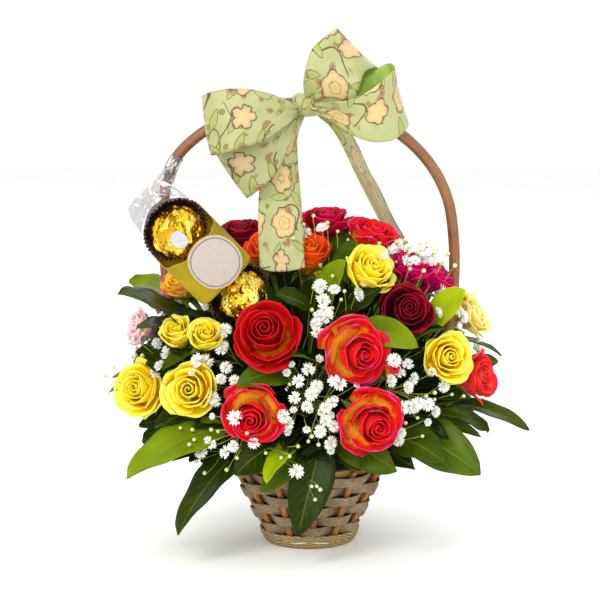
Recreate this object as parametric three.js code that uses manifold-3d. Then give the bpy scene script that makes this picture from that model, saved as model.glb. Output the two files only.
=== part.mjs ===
// A flower basket arrangement: spray roses, glossy foliage and baby's breath in a
// woven basket with a cane handle, a ribbon bow and a pack of three foil sweets.
// Millimetres. +Z is up, the front faces -Y, and the origin is the centre of the
// basket's base, on the surface it stands on.
import * as THREE from 'three';
import * as BufferGeometryUtils from 'three/addons/utils/BufferGeometryUtils.js';
import Module from 'manifold-3d';

const wasm = await Module();
wasm.setup();

// ---------------------------------------------------------------- driving sizes
const gap = 0.3;                 // left between pieces that touch
const growth = 0.4;              // how much fatter a piece is while it cuts its neighbour
const seamTolerance = 0.1;       // slivers thinner than this along a joint are merged

const stakeCount = 12;
const stakeRadius = 2.0;
const stakeTop = 52;
const ringSegments = 2 * stakeCount;
const firstStakeAngle = THREE.MathUtils.degToRad(4);
const wallRadiusAtBase = 23.5;   // of the circle that the stakes stand on
const wallFlare = 0.48;          // how far that circle widens for each mm of height
const baseRadius = 26.0;
const baseThickness = 5;

const weaverCount = 6;
const weaverPitch = 6.7;
const firstWeaverHeight = 11.6;
const weaverWidth = 6.3;
const weaverThickness = 1.2;
const weaverWave = 3.1;          // how far a weaver swings in and out of the stakes
const bandHeight = 7.2;
const bandThickness = 1.3;
const hoopBottom = 48.3;
const hoopHeight = 3.8;
const hoopThickness = 2.8;

const handleRadius = 3.5;
const linerInset = 14.4;         // from the stakes' circle to the liner's outside
const linerThickness = 0.8;
const foamCrown = 66;            // the foam's highest point
const stemHoleRadius = 2.6;      // of the holes that the sprays stand in

const ribbonThickness = 0.8;
const sweetRadius = 16;
const foilCrinkle = 0.35;
const sleeveLength = 35;
const sleeveShift = 9.5;         // up from the middle sweet towards the top one
const sleeveWidth = 38;
const sleeveDepth = 34;
const sleeveCorner = 7;
const sheetThickness = 0.7;      // card, paper cups and film
const pickRadius = 1.3;

const leafThickness = 0.8;
const hubHeight = 74;            // where a spray's stem forks, just above the foam
const footHeight = hubHeight - 32;
const sprayStemRadius = 1.9;     // below the fork, in the foam
const stemRadius = 0.95;         // of a rose's own stem
const petioleRadius = 0.7;
const kneeLift = 4;              // how far a stem or leaf stalk arches up on its way out
const knuckleRadius = 6.2;       // of the swelling a spray forks from
const breathStemRadius = 1.5;
const breathKnuckleRadius = 3.6;
const branchRadius = 0.8;
const floretRadius = 4.6;
const floretWaist = 3.3;         // between two petals
const domeCentre = new THREE.Vector3(0, 0, 82);
const domeReach = new THREE.Vector3(112, 94, 121);   // the foliage dome's half-axes

const colours = {
  cane: 0xa86232, chip: 0x7d6b5a, straw: 0xa8925c, liner: 0x2e3a2c, foam: 0x2f5a36,
  ribbon: 0xb9cf8f, foil: 0xd9a514, cup: 0x3b241c, card: 0xc4a317, film: 0xe8eaee,
  pick: 0xd8bd8a, leaf: 0x2f5a1e, breath: 0xf4f4ec,
};

// ---------------------------------------------------------------- small helpers
const group = new THREE.Group();

function vec(x, y, z) {
  return new THREE.Vector3(x, y, z);
}

function solidOf(geometry) {
  const bare = geometry.clone();
  bare.deleteAttribute('normal');
  bare.deleteAttribute('uv');
  const merged = BufferGeometryUtils.mergeVertices(bare, 1e-4);
  return new wasm.Manifold(new wasm.Mesh({
    numProp: 3,
    vertProperties: new Float32Array(merged.attributes.position.array),
    triVerts: new Uint32Array(merged.index.array),
  }));
}

function geometryOf(solid) {
  const mesh = solid.asOriginal().simplify(seamTolerance).getMesh();
  const geometry = new THREE.BufferGeometry();
  geometry.setAttribute('position', new THREE.BufferAttribute(mesh.vertProperties, 3));
  geometry.setIndex(new THREE.BufferAttribute(mesh.triVerts, 1));
  return geometry;
}

function addPiece(name, geometry, colour, roughness = 0.7, metalness = 0) {
  const material = new THREE.MeshStandardMaterial({ color: colour, roughness, metalness });
  const mesh = new THREE.Mesh(geometry, material);
  mesh.name = name;
  group.add(mesh);
}

function largestBody(solid) {
  const bodies = solid.decompose();
  bodies.sort((a, b) => b.volume() - a.volume());
  return bodies[0];
}

function joined(solids) {
  return solids.reduce((sum, solid) => sum.add(solid));
}

// What is left of a solid once every blocker near it is cut away.
function carved(solid, blockers) {
  let rest = solid;
  for (const blocker of blockers) {
    if (!rest.intersect(blocker).isEmpty()) rest = rest.subtract(blocker);
  }
  return largestBody(rest);
}

function touchesAny(solid, blockers) {
  return blockers.some((blocker) => !solid.intersect(blocker).isEmpty());
}

// A closed skin over rings of equal length. A ring of one point closes an end, and
// otherwise the end is capped. From index `mirrorFrom` on, the quads are split along
// their other diagonal, which makes both faces of a thin blade alike.
function skin(rings, { loop = false, mirrorFrom = Infinity } = {}) {
  const points = [];
  const triangles = [];
  const starts = rings.map((ring) => {
    const start = points.length;
    points.push(...ring);
    return start;
  });
  const last = loop ? rings.length : rings.length - 1;
  for (let i = 0; i < last; i += 1) {
    const a = rings[i];
    const b = rings[(i + 1) % rings.length];
    const startA = starts[i];
    const startB = starts[(i + 1) % rings.length];
    const sides = Math.max(a.length, b.length);
    for (let j = 0; j < sides; j += 1) {
      const k = (j + 1) % sides;
      if (a.length === 1) {
        triangles.push([startA, startB + j, startB + k]);
      } else if (b.length === 1) {
        triangles.push([startA + j, startB, startA + k]);
      } else if (j >= mirrorFrom) {
        triangles.push([startA + j, startB + j, startA + k]);
        triangles.push([startA + k, startB + j, startB + k]);
      } else {
        triangles.push([startA + j, startB + j, startB + k]);
        triangles.push([startA + j, startB + k, startA + k]);
      }
    }
  }
  if (!loop) {
    const first = rings[0];
    const end = rings[rings.length - 1];
    const startEnd = starts[starts.length - 1];
    for (let j = 1; j < first.length - 1; j += 1) triangles.push([0, j, j + 1]);
    for (let j = 1; j < end.length - 1; j += 1) {
      triangles.push([startEnd, startEnd + j + 1, startEnd + j]);
    }
  }
  const volume = triangles.reduce((sum, [i, j, k]) => (
    sum + points[i].dot(points[j].clone().cross(points[k]))), 0);
  const ordered = volume < 0 ? triangles.map(([i, j, k]) => [i, k, j]) : triangles;
  const geometry = new THREE.BufferGeometry().setFromPoints(points);
  geometry.setIndex(ordered.flat());
  return geometry;
}

// A tube along a smooth curve, by moving a polygon along it without twist.
function tube(path, radiusAt, sides, steps) {
  const curve = path.length > 2
    ? new THREE.CatmullRomCurve3(path, false, 'centripetal')
    : new THREE.LineCurve3(path[0], path[1]);
  const rings = [];
  let across = null;
  for (let i = 0; i <= steps; i += 1) {
    const t = i / steps;
    const centre = curve.getPoint(t);
    const along = curve.getTangent(t);
    if (!across) across = Math.abs(along.z) > 0.9 ? vec(1, 0, 0) : vec(0, 0, 1);
    across = across.clone().addScaledVector(along, -across.dot(along)).normalize();
    const other = along.clone().cross(across);
    const radius = radiusAt(t);
    rings.push(Array.from({ length: sides }, (_, j) => {
      const angle = (2 * Math.PI * j) / sides;
      return centre.clone()
        .addScaledVector(across, radius * Math.cos(angle))
        .addScaledVector(other, radius * Math.sin(angle));
    }));
  }
  return skin(rings);
}

function wallRadius(z) {
  return wallRadiusAtBase + wallFlare * z;
}

// Angles round the basket are measured from the front, -Y, towards +X.
function onWall(angle, radius, z) {
  return vec(radius * Math.sin(angle), -radius * Math.cos(angle), z);
}

function lathe(profile, segments) {
  const points = profile.map(([radius, z]) => new THREE.Vector2(radius, z));
  return new THREE.LatheGeometry(points, segments, firstStakeAngle).rotateX(Math.PI / 2);
}

// ---------------------------------------------------------------- basket
function stake(index) {
  const angle = firstStakeAngle + (2 * Math.PI * index) / stakeCount;
  const foot = onWall(angle, wallRadius(0), 0);
  const tip = onWall(angle, wallRadius(stakeTop), stakeTop);
  return solidOf(tube([foot, tip], () => stakeRadius, 7, 1));
}

// The base board and the stakes, cut off level with the surface below.
function basketFrame() {
  const board = new THREE.CylinderGeometry(baseRadius, baseRadius, baseThickness, ringSegments)
    .rotateX(Math.PI / 2)
    .translate(0, 0, baseThickness / 2);
  const stakes = Array.from({ length: stakeCount }, (_, index) => stake(index));
  const floor = new THREE.BoxGeometry(200, 200, 20).translate(0, 0, -10);
  return joined([solidOf(board), ...stakes]).subtract(solidOf(floor));
}

// A weaver passes outside one stake and inside the next, and the row above it does the
// opposite.
function weaver(index) {
  const middle = firstWeaverHeight + index * weaverPitch;
  const rings = Array.from({ length: ringSegments }, (_, i) => {
    const angle = firstStakeAngle + (2 * Math.PI * i) / ringSegments;
    const swing = weaverWave * Math.cos((i * Math.PI) / 2) * (index % 2 ? -1 : 1);
    const corners = [[-0.5, -0.5], [0.5, -0.5], [0.5, 0.5], [-0.5, 0.5]];
    return corners.map(([side, level]) => {
      const z = middle + level * weaverWidth;
      return onWall(angle, wallRadius(z) + swing + side * weaverThickness, z);
    });
  });
  return skin(rings, { loop: true });
}

function footBand() {
  const low = 0.9;
  const high = low + bandHeight;
  const inside = (z) => wallRadius(z) + stakeRadius + gap + 0.1;
  const bulge = bandThickness + 0.4;
  const middle = (low + high) / 2;
  return lathe([
    [inside(low), low], [inside(low) + bandThickness, low],
    [inside(middle) + bulge, middle],
    [inside(high) + bandThickness, high], [inside(high), high],
    [inside(low), low],
  ], ringSegments);
}

function rimHoop() {
  const inner = (z) => wallRadius(z) - stakeRadius - gap - 0.1 - hoopThickness;
  const top = hoopBottom + hoopHeight;
  return lathe([
    [inner(hoopBottom), hoopBottom],
    [inner(hoopBottom) + hoopThickness, hoopBottom],
    [inner(top) + hoopThickness, top],
    [inner(top) + hoopThickness / 2, top + 0.6],
    [inner(top), top],
    [inner(hoopBottom), hoopBottom],
  ], ringSegments);
}

const linerFloor = baseThickness + gap;
const linerTop = 52;

function liner() {
  const outer = (z) => wallRadius(z) - linerInset;
  const inner = (z) => outer(z) - linerThickness;
  return lathe([
    [0, linerFloor], [outer(linerFloor), linerFloor], [outer(linerTop), linerTop],
    [inner(linerTop), linerTop],
    [inner(linerFloor + linerThickness), linerFloor + linerThickness],
    [0, linerFloor + linerThickness],
  ], stakeCount);
}

function foamBlock(holes) {
  const inner = (z) => wallRadius(z) - linerInset - linerThickness - gap;
  const bottom = linerFloor + linerThickness + gap;
  const block = solidOf(lathe([
    [0, bottom], [inner(bottom), bottom], [inner(linerTop), linerTop],
    [inner(linerTop) - 5, 60], [14, 65], [0, foamCrown],
  ], stakeCount));
  return holes.reduce((rest, hole) => rest.subtract(hole), block);
}

// The cane runs up inside the wall, out through the foliage, and over in one arch.
// The right side is listed as x and z from the base up, and the left side after it.
const handleRight = [[18.5, 10], [29.5, 33], [38, 51], [50, 67], [74, 98], [86, 132],
  [89.5, 165], [88.5, 195], [84.5, 216], [74, 236], [56, 254], [29, 268], [0, 273.5]];
const handleLeft = [[-30, 270.5], [-56, 261], [-73, 249.5], [-83, 238], [-88.5, 222],
  [-90, 195], [-88, 160], [-82, 128], [-70, 96], [-50, 67], [-38, 51], [-29.5, 33],
  [-18.5, 10]];

function handleTube(radius) {
  const path = [...handleRight, ...handleLeft].map(([x, z]) => vec(x, 0, z));
  return tube(path, () => radius, 8, 36);
}

// ---------------------------------------------------------------- ribbon bow
const knotCentre = vec(-2, -3, 272.5);

function knotSolid(grow = 0) {
  const rings = [];
  const rows = [[-8.5, 0.62], [-5.5, 0.92], [0, 1], [5, 0.92], [8, 0.66]];
  for (const [x, size] of rows) {
    const end = Math.sign(x) * grow;
    rings.push(Array.from({ length: 12 }, (_, j) => {
      const angle = (2 * Math.PI * j) / 12;
      const crease = j % 2 ? 1 : 0.93;
      return knotCentre.clone().add(vec(
        x + end,
        (9 * size * crease + grow) * Math.cos(angle),
        (7.5 * size * crease + grow) * Math.sin(angle),
      ));
    }));
  }
  return solidOf(skin(rings));
}

// A ribbon follows rows of points across its width, listed by hand from the knot out.
// Each loop returns to the knot, and each tail ends free.
const ribbonRows = {
  loop_left_upper: [
    [[-6, -9, 272], [-6, -10, 268]], [[-16, -20, 277], [-13, -22, 262]],
    [[-29, -34, 282], [-27, -36, 253]], [[-44, -42, 284], [-43, -44, 248]],
    [[-58, -40, 282], [-54, -42, 245]], [[-64, -34, 279], [-59, -36, 244]],
    [[-61, -29, 279], [-55, -30, 247]], [[-44, -28, 280], [-41, -28, 253]],
    [[-26, -20, 276], [-24, -20, 264]], [[-9, -8, 273], [-9, -8, 271]],
  ],
  loop_left_lower: [
    [[-9, -9, 267.5], [-6, -9, 266.5]], [[-24, -17, 260], [-13, -16, 248]],
    [[-41, -22, 255], [-20, -22, 233]], [[-54, -24, 251], [-31, -26, 222]],
    [[-59, -21, 248], [-38, -22, 217]], [[-53, -17, 249], [-34, -18, 222]],
    [[-40, -14, 254], [-23, -17, 235]], [[-24, -10, 260], [-15, -11.5, 251]],
    [[-8, -6, 269], [-7, -6, 267.5]],
  ],
  loop_right_upper: [
    [[-3, -6, 276], [1, -6, 275]], [[-4, -14, 284], [12, -16, 278]],
    [[-3, -20, 293], [24, -22, 279]], [[1, -22, 306], [27, -25, 287]],
    [[9, -18, 314], [33, -22, 293]], [[17, -9, 319], [41, -13, 295]],
    [[15, 0, 313], [38, -5, 288]], [[6, 4, 299], [27, -3, 281]],
    [[-2, 1, 285], [12, -1, 279.5]], [[-3, -2, 277], [0, -2, 277]],
  ],
  loop_right_lower: [
    [[1, -10, 274], [1, -10, 269]], [[12, -24, 275], [13, -22, 264]],
    [[23, -36, 277], [25, -34, 256]], [[36, -41, 283], [37, -38, 252]],
    [[45, -37, 290], [50, -33, 253]], [[51, -26, 296], [59, -23, 261]],
    [[47, -16, 298], [55, -14, 268]], [[37, -15, 292], [43, -12, 269]],
    [[23, -12.5, 277], [24, -11, 267]], [[4, -8, 273], [4, -8, 269]],
  ],
  tail_left: [
    [[-9, -6, 266.5], [-3, -6, 266]], [[-19, -9, 252], [-7, -8, 254]],
    [[-29, -11, 233], [-7, -10, 236]], [[-31, -18, 216], [-5, -17, 215]],
    [[-31, -30, 195], [-4, -29, 195]], [[-30, -40, 176], [-3, -39, 177]],
  ],
  tail_right: [
    [[4, 4, 273], [3, 3, 267]], [[16, 8, 266], [12, 16, 259]],
    [[27, 9, 252], [21, 27, 244]], [[36, 11, 234], [31, 35, 224]],
    [[44, 13, 218], [39, 41, 207]], [[53, 16, 200], [49, 45, 189]],
    [[62, 19, 185], [59, 47, 176]],
  ],
};

function ribbonSolid(rows, steps, grow = 0) {
  const edges = [0, 1].map((side) => new THREE.CatmullRomCurve3(
    rows.map((row) => vec(...row[side])), false, 'centripetal'));
  const half = ribbonThickness / 2 + grow;
  const rings = [];
  for (let i = 0; i <= steps; i += 1) {
    const t = i / steps;
    const a = edges[0].getPoint(t);
    const b = edges[1].getPoint(t);
    const across = b.clone().sub(a).normalize();
    const along = edges[0].getTangent(t).add(edges[1].getTangent(t));
    const normal = along.clone().cross(across).normalize();
    const overrun = (i === 0 ? -grow : 0) + (i === steps ? grow : 0);
    for (const edge of [a, b]) edge.addScaledVector(along.normalize(), overrun);
    a.addScaledVector(across, -grow);
    b.addScaledVector(across, grow);
    rings.push([
      a.clone().addScaledVector(normal, half), b.clone().addScaledVector(normal, half),
      b.clone().addScaledVector(normal, -half), a.clone().addScaledVector(normal, -half),
    ]);
  }
  return solidOf(skin(rings, { mirrorFrom: 2 }));
}

// ---------------------------------------------------------------- pack of sweets
const topSweet = vec(-77, -80, 203);
const lowSweet = vec(-41, -46, 161);
const packAxis = topSweet.clone().sub(lowSweet).normalize();
const middleSweet = topSweet.clone().add(lowSweet).multiplyScalar(0.5);
const packFront = vec(0.426, -0.847, -0.321);
packFront.addScaledVector(packAxis, -packFront.dot(packAxis)).normalize();
const packSide = packAxis.clone().cross(packFront);
const packFrame = new THREE.Matrix4().makeBasis(packSide, packAxis, packFront);

function inPack(centre, side, along, front) {
  return centre.clone()
    .addScaledVector(packSide, side)
    .addScaledVector(packAxis, along)
    .addScaledVector(packFront, front);
}

// A ball in crinkled foil. The fatter copy that cuts its neighbours is smooth.
function sweet(centre, grow = 0) {
  const ball = new THREE.IcosahedronGeometry(1, 2);
  const position = ball.attributes.position;
  for (let i = 0; i < position.count; i += 1) {
    const point = new THREE.Vector3().fromBufferAttribute(position, i);
    const wave = Math.sin(9 * point.x + 4 * point.y) * Math.cos(8 * point.z - 3 * point.x);
    const radius = grow ? sweetRadius + grow : sweetRadius - foilCrinkle * (1 - wave);
    point.multiplyScalar(radius).add(centre);
    position.setXYZ(i, point.x, point.y, point.z);
  }
  return solidOf(ball);
}

// A fluted paper cup behind a sweet, open towards the front. Each ring is its radius,
// its place in front of the sweet's centre, and the depth of its flutes.
const cupFlutes = 11;

function flutedCup(centre, grow = 0) {
  const outside = [[0, -17.1 - grow, 0], [13.6, -17.1 - grow, 0.25],
    [21.2 + grow, -3 + grow, 0.7]];
  const inside = [[20.1, -3 + grow, 0.7], [12.9, -16.3, 0.25], [0, -16.3, 0]];
  const rings = [...outside, ...inside].map(([radius, front, flute]) => {
    if (radius === 0) return [inPack(centre, 0, 0, front)];
    return Array.from({ length: 2 * cupFlutes }, (_, j) => {
      const angle = (Math.PI * j) / cupFlutes;
      const wavy = radius + (j % 2 ? flute : -flute);
      return inPack(centre, wavy * Math.cos(angle), wavy * Math.sin(angle), front);
    });
  });
  return solidOf(skin(rings));
}

function sleeveOutline(halfWidth, halfDepth, corner) {
  const outline = [];
  for (const [sx, sy, start] of [[1, 1, 0], [-1, 1, 1], [-1, -1, 2], [1, -1, 3]]) {
    for (let i = 0; i <= 2; i += 1) {
      const angle = (Math.PI / 2) * (start + i / 2);
      outline.push([
        sx * (halfWidth - corner) + corner * Math.cos(angle),
        sy * (halfDepth - corner) + corner * Math.sin(angle),
      ]);
    }
  }
  return outline;
}

// The card tube round the sweets, open at both ends. The fatter copy is a solid slab.
function sleeveSolid(grow = 0) {
  const slab = (inset, length) => {
    const outline = sleeveOutline(
      sleeveWidth / 2 - inset, sleeveDepth / 2 - inset, sleeveCorner - inset);
    const ends = [sleeveShift - length / 2, sleeveShift + length / 2];
    return solidOf(skin(ends.map((along) => (
      outline.map(([side, front]) => inPack(middleSweet, side, along, front))))));
  };
  const body = slab(-grow, sleeveLength + 2 * grow);
  return grow ? body : body.subtract(slab(sheetThickness, sleeveLength + 10));
}

// The clear film's gathered end above the top sweet, and its twist round the handle.
function filmSolid() {
  const half = sheetThickness / 2;
  const sheet = (corners, normal) => solidOf(skin(corners.map(([a, b]) => [
    a.clone().addScaledVector(normal, half), b.clone().addScaledVector(normal, half),
    b.clone().addScaledVector(normal, -half), a.clone().addScaledVector(normal, -half),
  ]), { mirrorFrom: 2 }));
  const flap = sheet([
    [inPack(topSweet, -17, 12, 0), inPack(topSweet, 17, 12, 0)],
    [inPack(topSweet, -18, 26, 0), inPack(topSweet, 18, 26, 0)],
    [inPack(topSweet, -18, 40, 0), inPack(topSweet, 18, 40, 0)],
  ], packFront);
  const tie = sheet([
    [inPack(topSweet, 8, 34, 0), inPack(topSweet, 18, 34, 0)],
    [vec(-88, -55, 240), vec(-80, -55, 243)],
    [vec(-86.5, -5, 232), vec(-79.5, -5, 240)],
    [vec(-89.5, 3, 232), vec(-84, 3, 243.5)],
  ], vec(0.2, -0.2, 1).normalize());
  return flap.add(tie);
}

// ---------------------------------------------------------------- roses
// Rings from the base to the crown: radius and height in units of the bloom's radius,
// and how deeply the petals notch that ring. Grooves part the layers of petals.
const fullRose = [[0.28, -0.74, 0], [0.72, -0.3, 0.04], [1, 0.12, 0.16], [0.86, 0.16, 0.12],
  [0.7, -0.02, 0], [0.72, 0.36, 0.14], [0.46, 0.2, 0], [0.42, 0.5, 0.16], [0.2, 0.34, 0]];
const smallRose = [[0.28, -0.74, 0], [0.74, -0.28, 0.04], [1, 0.16, 0.14], [0.74, 0.04, 0],
  [0.64, 0.44, 0.14], [0.34, 0.26, 0], [0.26, 0.54, 0.1]];
const plainShell = [[0.28, -0.74, 0], [0.72, -0.3, 0], [1, 0.14, 0], [0.74, 0.42, 0],
  [0.42, 0.54, 0]];

function bloomSolid(bloom, rows, samples, grow = 0) {
  const { at, radius, facing, tall = 1 } = bloom;
  const axis = vec(...facing).normalize();
  const side = Math.abs(axis.z) > 0.95 ? vec(1, 0, 0) : vec(0, 0, 1).cross(axis).normalize();
  const up = axis.clone().cross(side);
  const centre = vec(...at);
  const place = (r, z, angle) => centre.clone()
    .addScaledVector(side, r * Math.cos(angle))
    .addScaledVector(up, r * Math.sin(angle))
    .addScaledVector(axis, z);
  const scale = radius + grow;
  const rings = rows.map(([r, z, notch], row) => Array.from({ length: samples }, (_, j) => {
    const turn = j / samples;
    const lobe = (5 * turn + 0.37 * row + at[0] * 0.11) % 1;
    const cut = 1 - notch * Math.abs(lobe);
    const lift = z - notch * 0.6 * Math.abs(lobe);
    return place(r * cut * scale, lift * scale * tall, 2 * Math.PI * turn);
  }));
  const foot = [place(0, -0.8 * scale * tall, 0)];
  const crown = [place(0, (rows === plainShell ? 0.56 : 0.5) * scale * tall, 0)];
  return solidOf(skin([foot, ...rings, crown]));
}

const wine = 0x6a0c2c;
const magenta = 0xc00a60;
const red = 0xcf1420;
const yellow = 0xf4d335;
const flame = 0xe8402a;

const blooms = [
  { name: 'rose_red_front', colour: red, at: [-25, -75, 141], radius: 21.5,
    facing: [-0.1, -0.86, 0.5] },
  { name: 'rose_flame_upper', colour: flame, at: [25, -79, 132], radius: 21,
    facing: [0.42, -0.9, 0.05] },
  { name: 'rose_flame_right', colour: flame, at: [35, -85, 92], radius: 20.5,
    facing: [0.3, -0.95, -0.08] },
  { name: 'rose_flame_left', colour: flame, at: [-33, -85, 97], radius: 19,
    facing: [-0.12, -0.98, -0.12] },
  { name: 'rose_yellow_far_left', colour: yellow, at: [-103, -24, 100], radius: 18,
    facing: [-0.55, -0.8, 0.22] },
  { name: 'rose_yellow_left', colour: yellow, at: [-70, -65, 107], radius: 18,
    facing: [-0.25, -0.94, 0.2] },
  { name: 'buds_yellow', colour: yellow, at: [-79, -48, 137], radius: 13.5,
    facing: [-0.25, -0.6, 0.75], tall: 1.2,
    twin: { at: [-62, -59, 137], radius: 13, facing: [0.05, -0.72, 0.68], tall: 1.25 } },
  { name: 'rose_yellow_right', colour: yellow, at: [82, -49, 124], radius: 16.5,
    facing: [0.35, -0.9, 0.2] },
  { name: 'rose_burgundy_right', colour: wine, at: [57, -52, 154], radius: 16.5,
    facing: [0.3, -0.8, 0.5] },
  { name: 'roses_magenta', colour: magenta, at: [61, -22, 173], radius: 15.5,
    facing: [0.2, -0.3, 0.9],
    twin: { at: [75, -9, 166], radius: 15.5, facing: [0.55, -0.2, 0.8] } },
  { name: 'rose_crimson_crown', colour: 0xa80f3a, at: [10, 10, 198], radius: 17.5,
    facing: [0, -0.25, 0.95] },
  { name: 'rose_red_crown', colour: red, at: [37, -8, 190], radius: 17,
    facing: [0.3, -0.3, 0.9], tall: 1.15 },
  { name: 'rose_yellow_crown', colour: yellow, at: [34, -44, 174], radius: 17.5,
    facing: [0.45, -0.6, 0.66], tall: 1.15 },
  { name: 'rose_orange_crown', colour: 0xee5a1c, at: [-2, -18, 181], radius: 16,
    facing: [0.1, -0.5, 0.86], tall: 1.15,
    twin: { at: [-26, -16, 183], radius: 15, facing: [-0.2, -0.45, 0.87], tall: 1.2 } },
  { name: 'rose_burgundy_crown', colour: wine, at: [-42, 6, 190], radius: 15.5,
    facing: [-0.15, -0.3, 0.93] },
  { name: 'rose_yellow_pink', colour: 0xf0c040, at: [-78, -10, 163], radius: 15,
    facing: [-0.4, -0.5, 0.75] },
  { name: 'rose_pink', colour: 0xf0a8b4, at: [-104, 2, 133], radius: 14,
    facing: [-0.85, -0.4, 0.3] },
  { name: 'rose_pale_yellow', colour: 0xf2de8a, at: [101, 10, 141], radius: 14,
    facing: [0.9, -0.1, 0.4] },
  { name: 'rose_red_right', colour: red, at: [100, -22, 107], radius: 18,
    facing: [0.85, -0.5, 0.2] },
  { name: 'bud_red', colour: red, at: [47, -76, 121], radius: 7, facing: [0.4, -0.7, 0.6], tall: 1.4 },
  { name: 'roses_red_back', colour: red, at: [-36, 73, 122], radius: 20, facing: [-0.3, 0.85, 0.4],
    twin: { at: [-20, 80, 97], radius: 18, facing: [-0.15, 0.97, 0.1] } },
  { name: 'roses_yellow_back', colour: yellow, at: [20, 71, 138], radius: 20,
    facing: [0.15, 0.85, 0.5],
    twin: { at: [-2, 63, 157], radius: 17, facing: [-0.05, 0.7, 0.7] } },
  { name: 'roses_magenta_back', colour: magenta, at: [66, 59, 113], radius: 19,
    facing: [0.6, 0.75, 0.3],
    twin: { at: [46, 71, 95], radius: 17, facing: [0.4, 0.9, 0.1] } },
  { name: 'roses_flame_back', colour: flame, at: [-76, 43, 122], radius: 19,
    facing: [-0.75, 0.6, 0.3],
    twin: { at: [-67, 53, 97], radius: 17, facing: [-0.7, 0.7, 0.05] } },
];

function roseSolid(bloom, grow = 0) {
  const wide = bloom.radius > 18.5 && bloom.at[1] < 0;
  const rows = wide ? fullRose : smallRose;
  const samples = wide ? 15 : 10;
  const heads = [bloom, bloom.twin].filter(Boolean);
  return joined(heads.map((head) => (grow
    ? bloomSolid(head, plainShell, 10, grow + 0.6)
    : bloomSolid(head, rows, samples))));
}

// ---------------------------------------------------------------- foliage
// A spray forks at its hub, just above its hole in the foam, into stems that carry the
// roses and into leaves. Leaves are listed as base, tip and width, and the last number
// tilts the blade about its own length, in degrees.
const sprays = [
  { name: 'leaves_left', hub: [-15, -9], carries: ['rose_yellow_far_left', 'rose_yellow_left',
    'buds_yellow', 'rose_yellow_pink', 'rose_pink'],
  leaves: [[[-50, -56, 84], [-107, -84, 60], 26, 10], [[-38, -50, 72], [-78, -74, 24], 24, 20],
    [[-68, -34, 144], [-112, -58, 168], 27, -25], [[-78, 10, 150], [-116, 14, 166], 20, 0],
    [[-84, 18, 92], [-123, 4, 105], 12, 0], [[-60, -34, 128], [-88, -66, 121], 13, 0],
    [[-70, 24, 100], [-112, 34, 92], 22, 0], [[-58, 4, 84], [-104, -2, 64], 24, 0]] },
  { name: 'leaves_front', hub: [2, -19], carries: ['rose_red_front', 'rose_flame_upper',
    'rose_flame_right', 'rose_flame_left', 'bud_red'],
  leaves: [[[-14, -60, 78], [-43, -90, 62], 22, -10], [[-9, -70, 77], [-25, -98, 60], 13, 30],
    [[-4, -62, 71], [-29, -90, 53], 15, -20], [[5, -64, 75], [-6, -76, 24], 23, 0],
    [[15, -62, 74], [51, -90, 67], 20, 10], [[0, -58, 124], [-16, -90, 140], 14, 10],
    [[-8, -66, 122], [-42, -94, 121], 19, -15]] },
  { name: 'leaves_right', hub: [19, -6], carries: ['rose_yellow_right', 'rose_burgundy_right',
    'rose_pale_yellow', 'rose_red_right', 'roses_magenta'],
  leaves: [[[45, -54, 78], [78, -84, 68], 22, 10], [[50, -42, 82], [102, -66, 60], 28, 15],
    [[62, -26, 80], [104, -36, 74], 11, 0], [[58, -36, 92], [98, -50, 90], 10, 10],
    [[82, -12, 88], [134, -34, 80], 13, 20], [[94, 14, 104], [119, 18, 112], 12, 0],
    [[92, 20, 124], [122, 26, 114], 10, 0], [[70, -38, 138], [92, -48, 167], 16, -30],
    [[74, 16, 82], [114, 24, 66], 22, 0]] },
  { name: 'leaves_crown', hub: [-2, -2], carries: ['rose_crimson_crown', 'rose_red_crown',
    'rose_yellow_crown', 'rose_orange_crown', 'rose_burgundy_crown'],
  leaves: [[[14, -46, 146], [42, -54, 168], 17, 0], [[2, -56, 152], [-20, -66, 166], 14, 0],
    [[24, -54, 142], [64, -78, 146], 20, -20], [[12, 0, 164], [24, 6, 202], 12, 0],
    [[-30, 30, 160], [-52, 42, 186], 18, 0], [[14, 34, 162], [30, 52, 188], 18, 0]] },
  { name: 'leaves_back', hub: [2, 17], carries: ['roses_red_back', 'roses_yellow_back',
    'roses_magenta_back', 'roses_flame_back'],
  leaves: [[[-34, 56, 76], [-70, 84, 52], 24, 0], [[0, 60, 80], [-8, 92, 48], 24, 0],
    [[32, 56, 76], [66, 82, 54], 24, 0], [[52, 30, 76], [96, 56, 64], 22, 0],
    [[-52, 30, 76], [-98, 58, 66], 22, 0], [[0, 62, 104], [-6, 96, 96], 20, 0],
    [[44, 52, 142], [66, 74, 166], 18, 0], [[-54, 50, 142], [-78, 62, 168], 18, 0],
    [[-8, 58, 142], [-12, 78, 172], 18, 0]] },
];

function hubOf({ hub }) {
  return vec(hub[0], hub[1], hubHeight);
}

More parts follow.
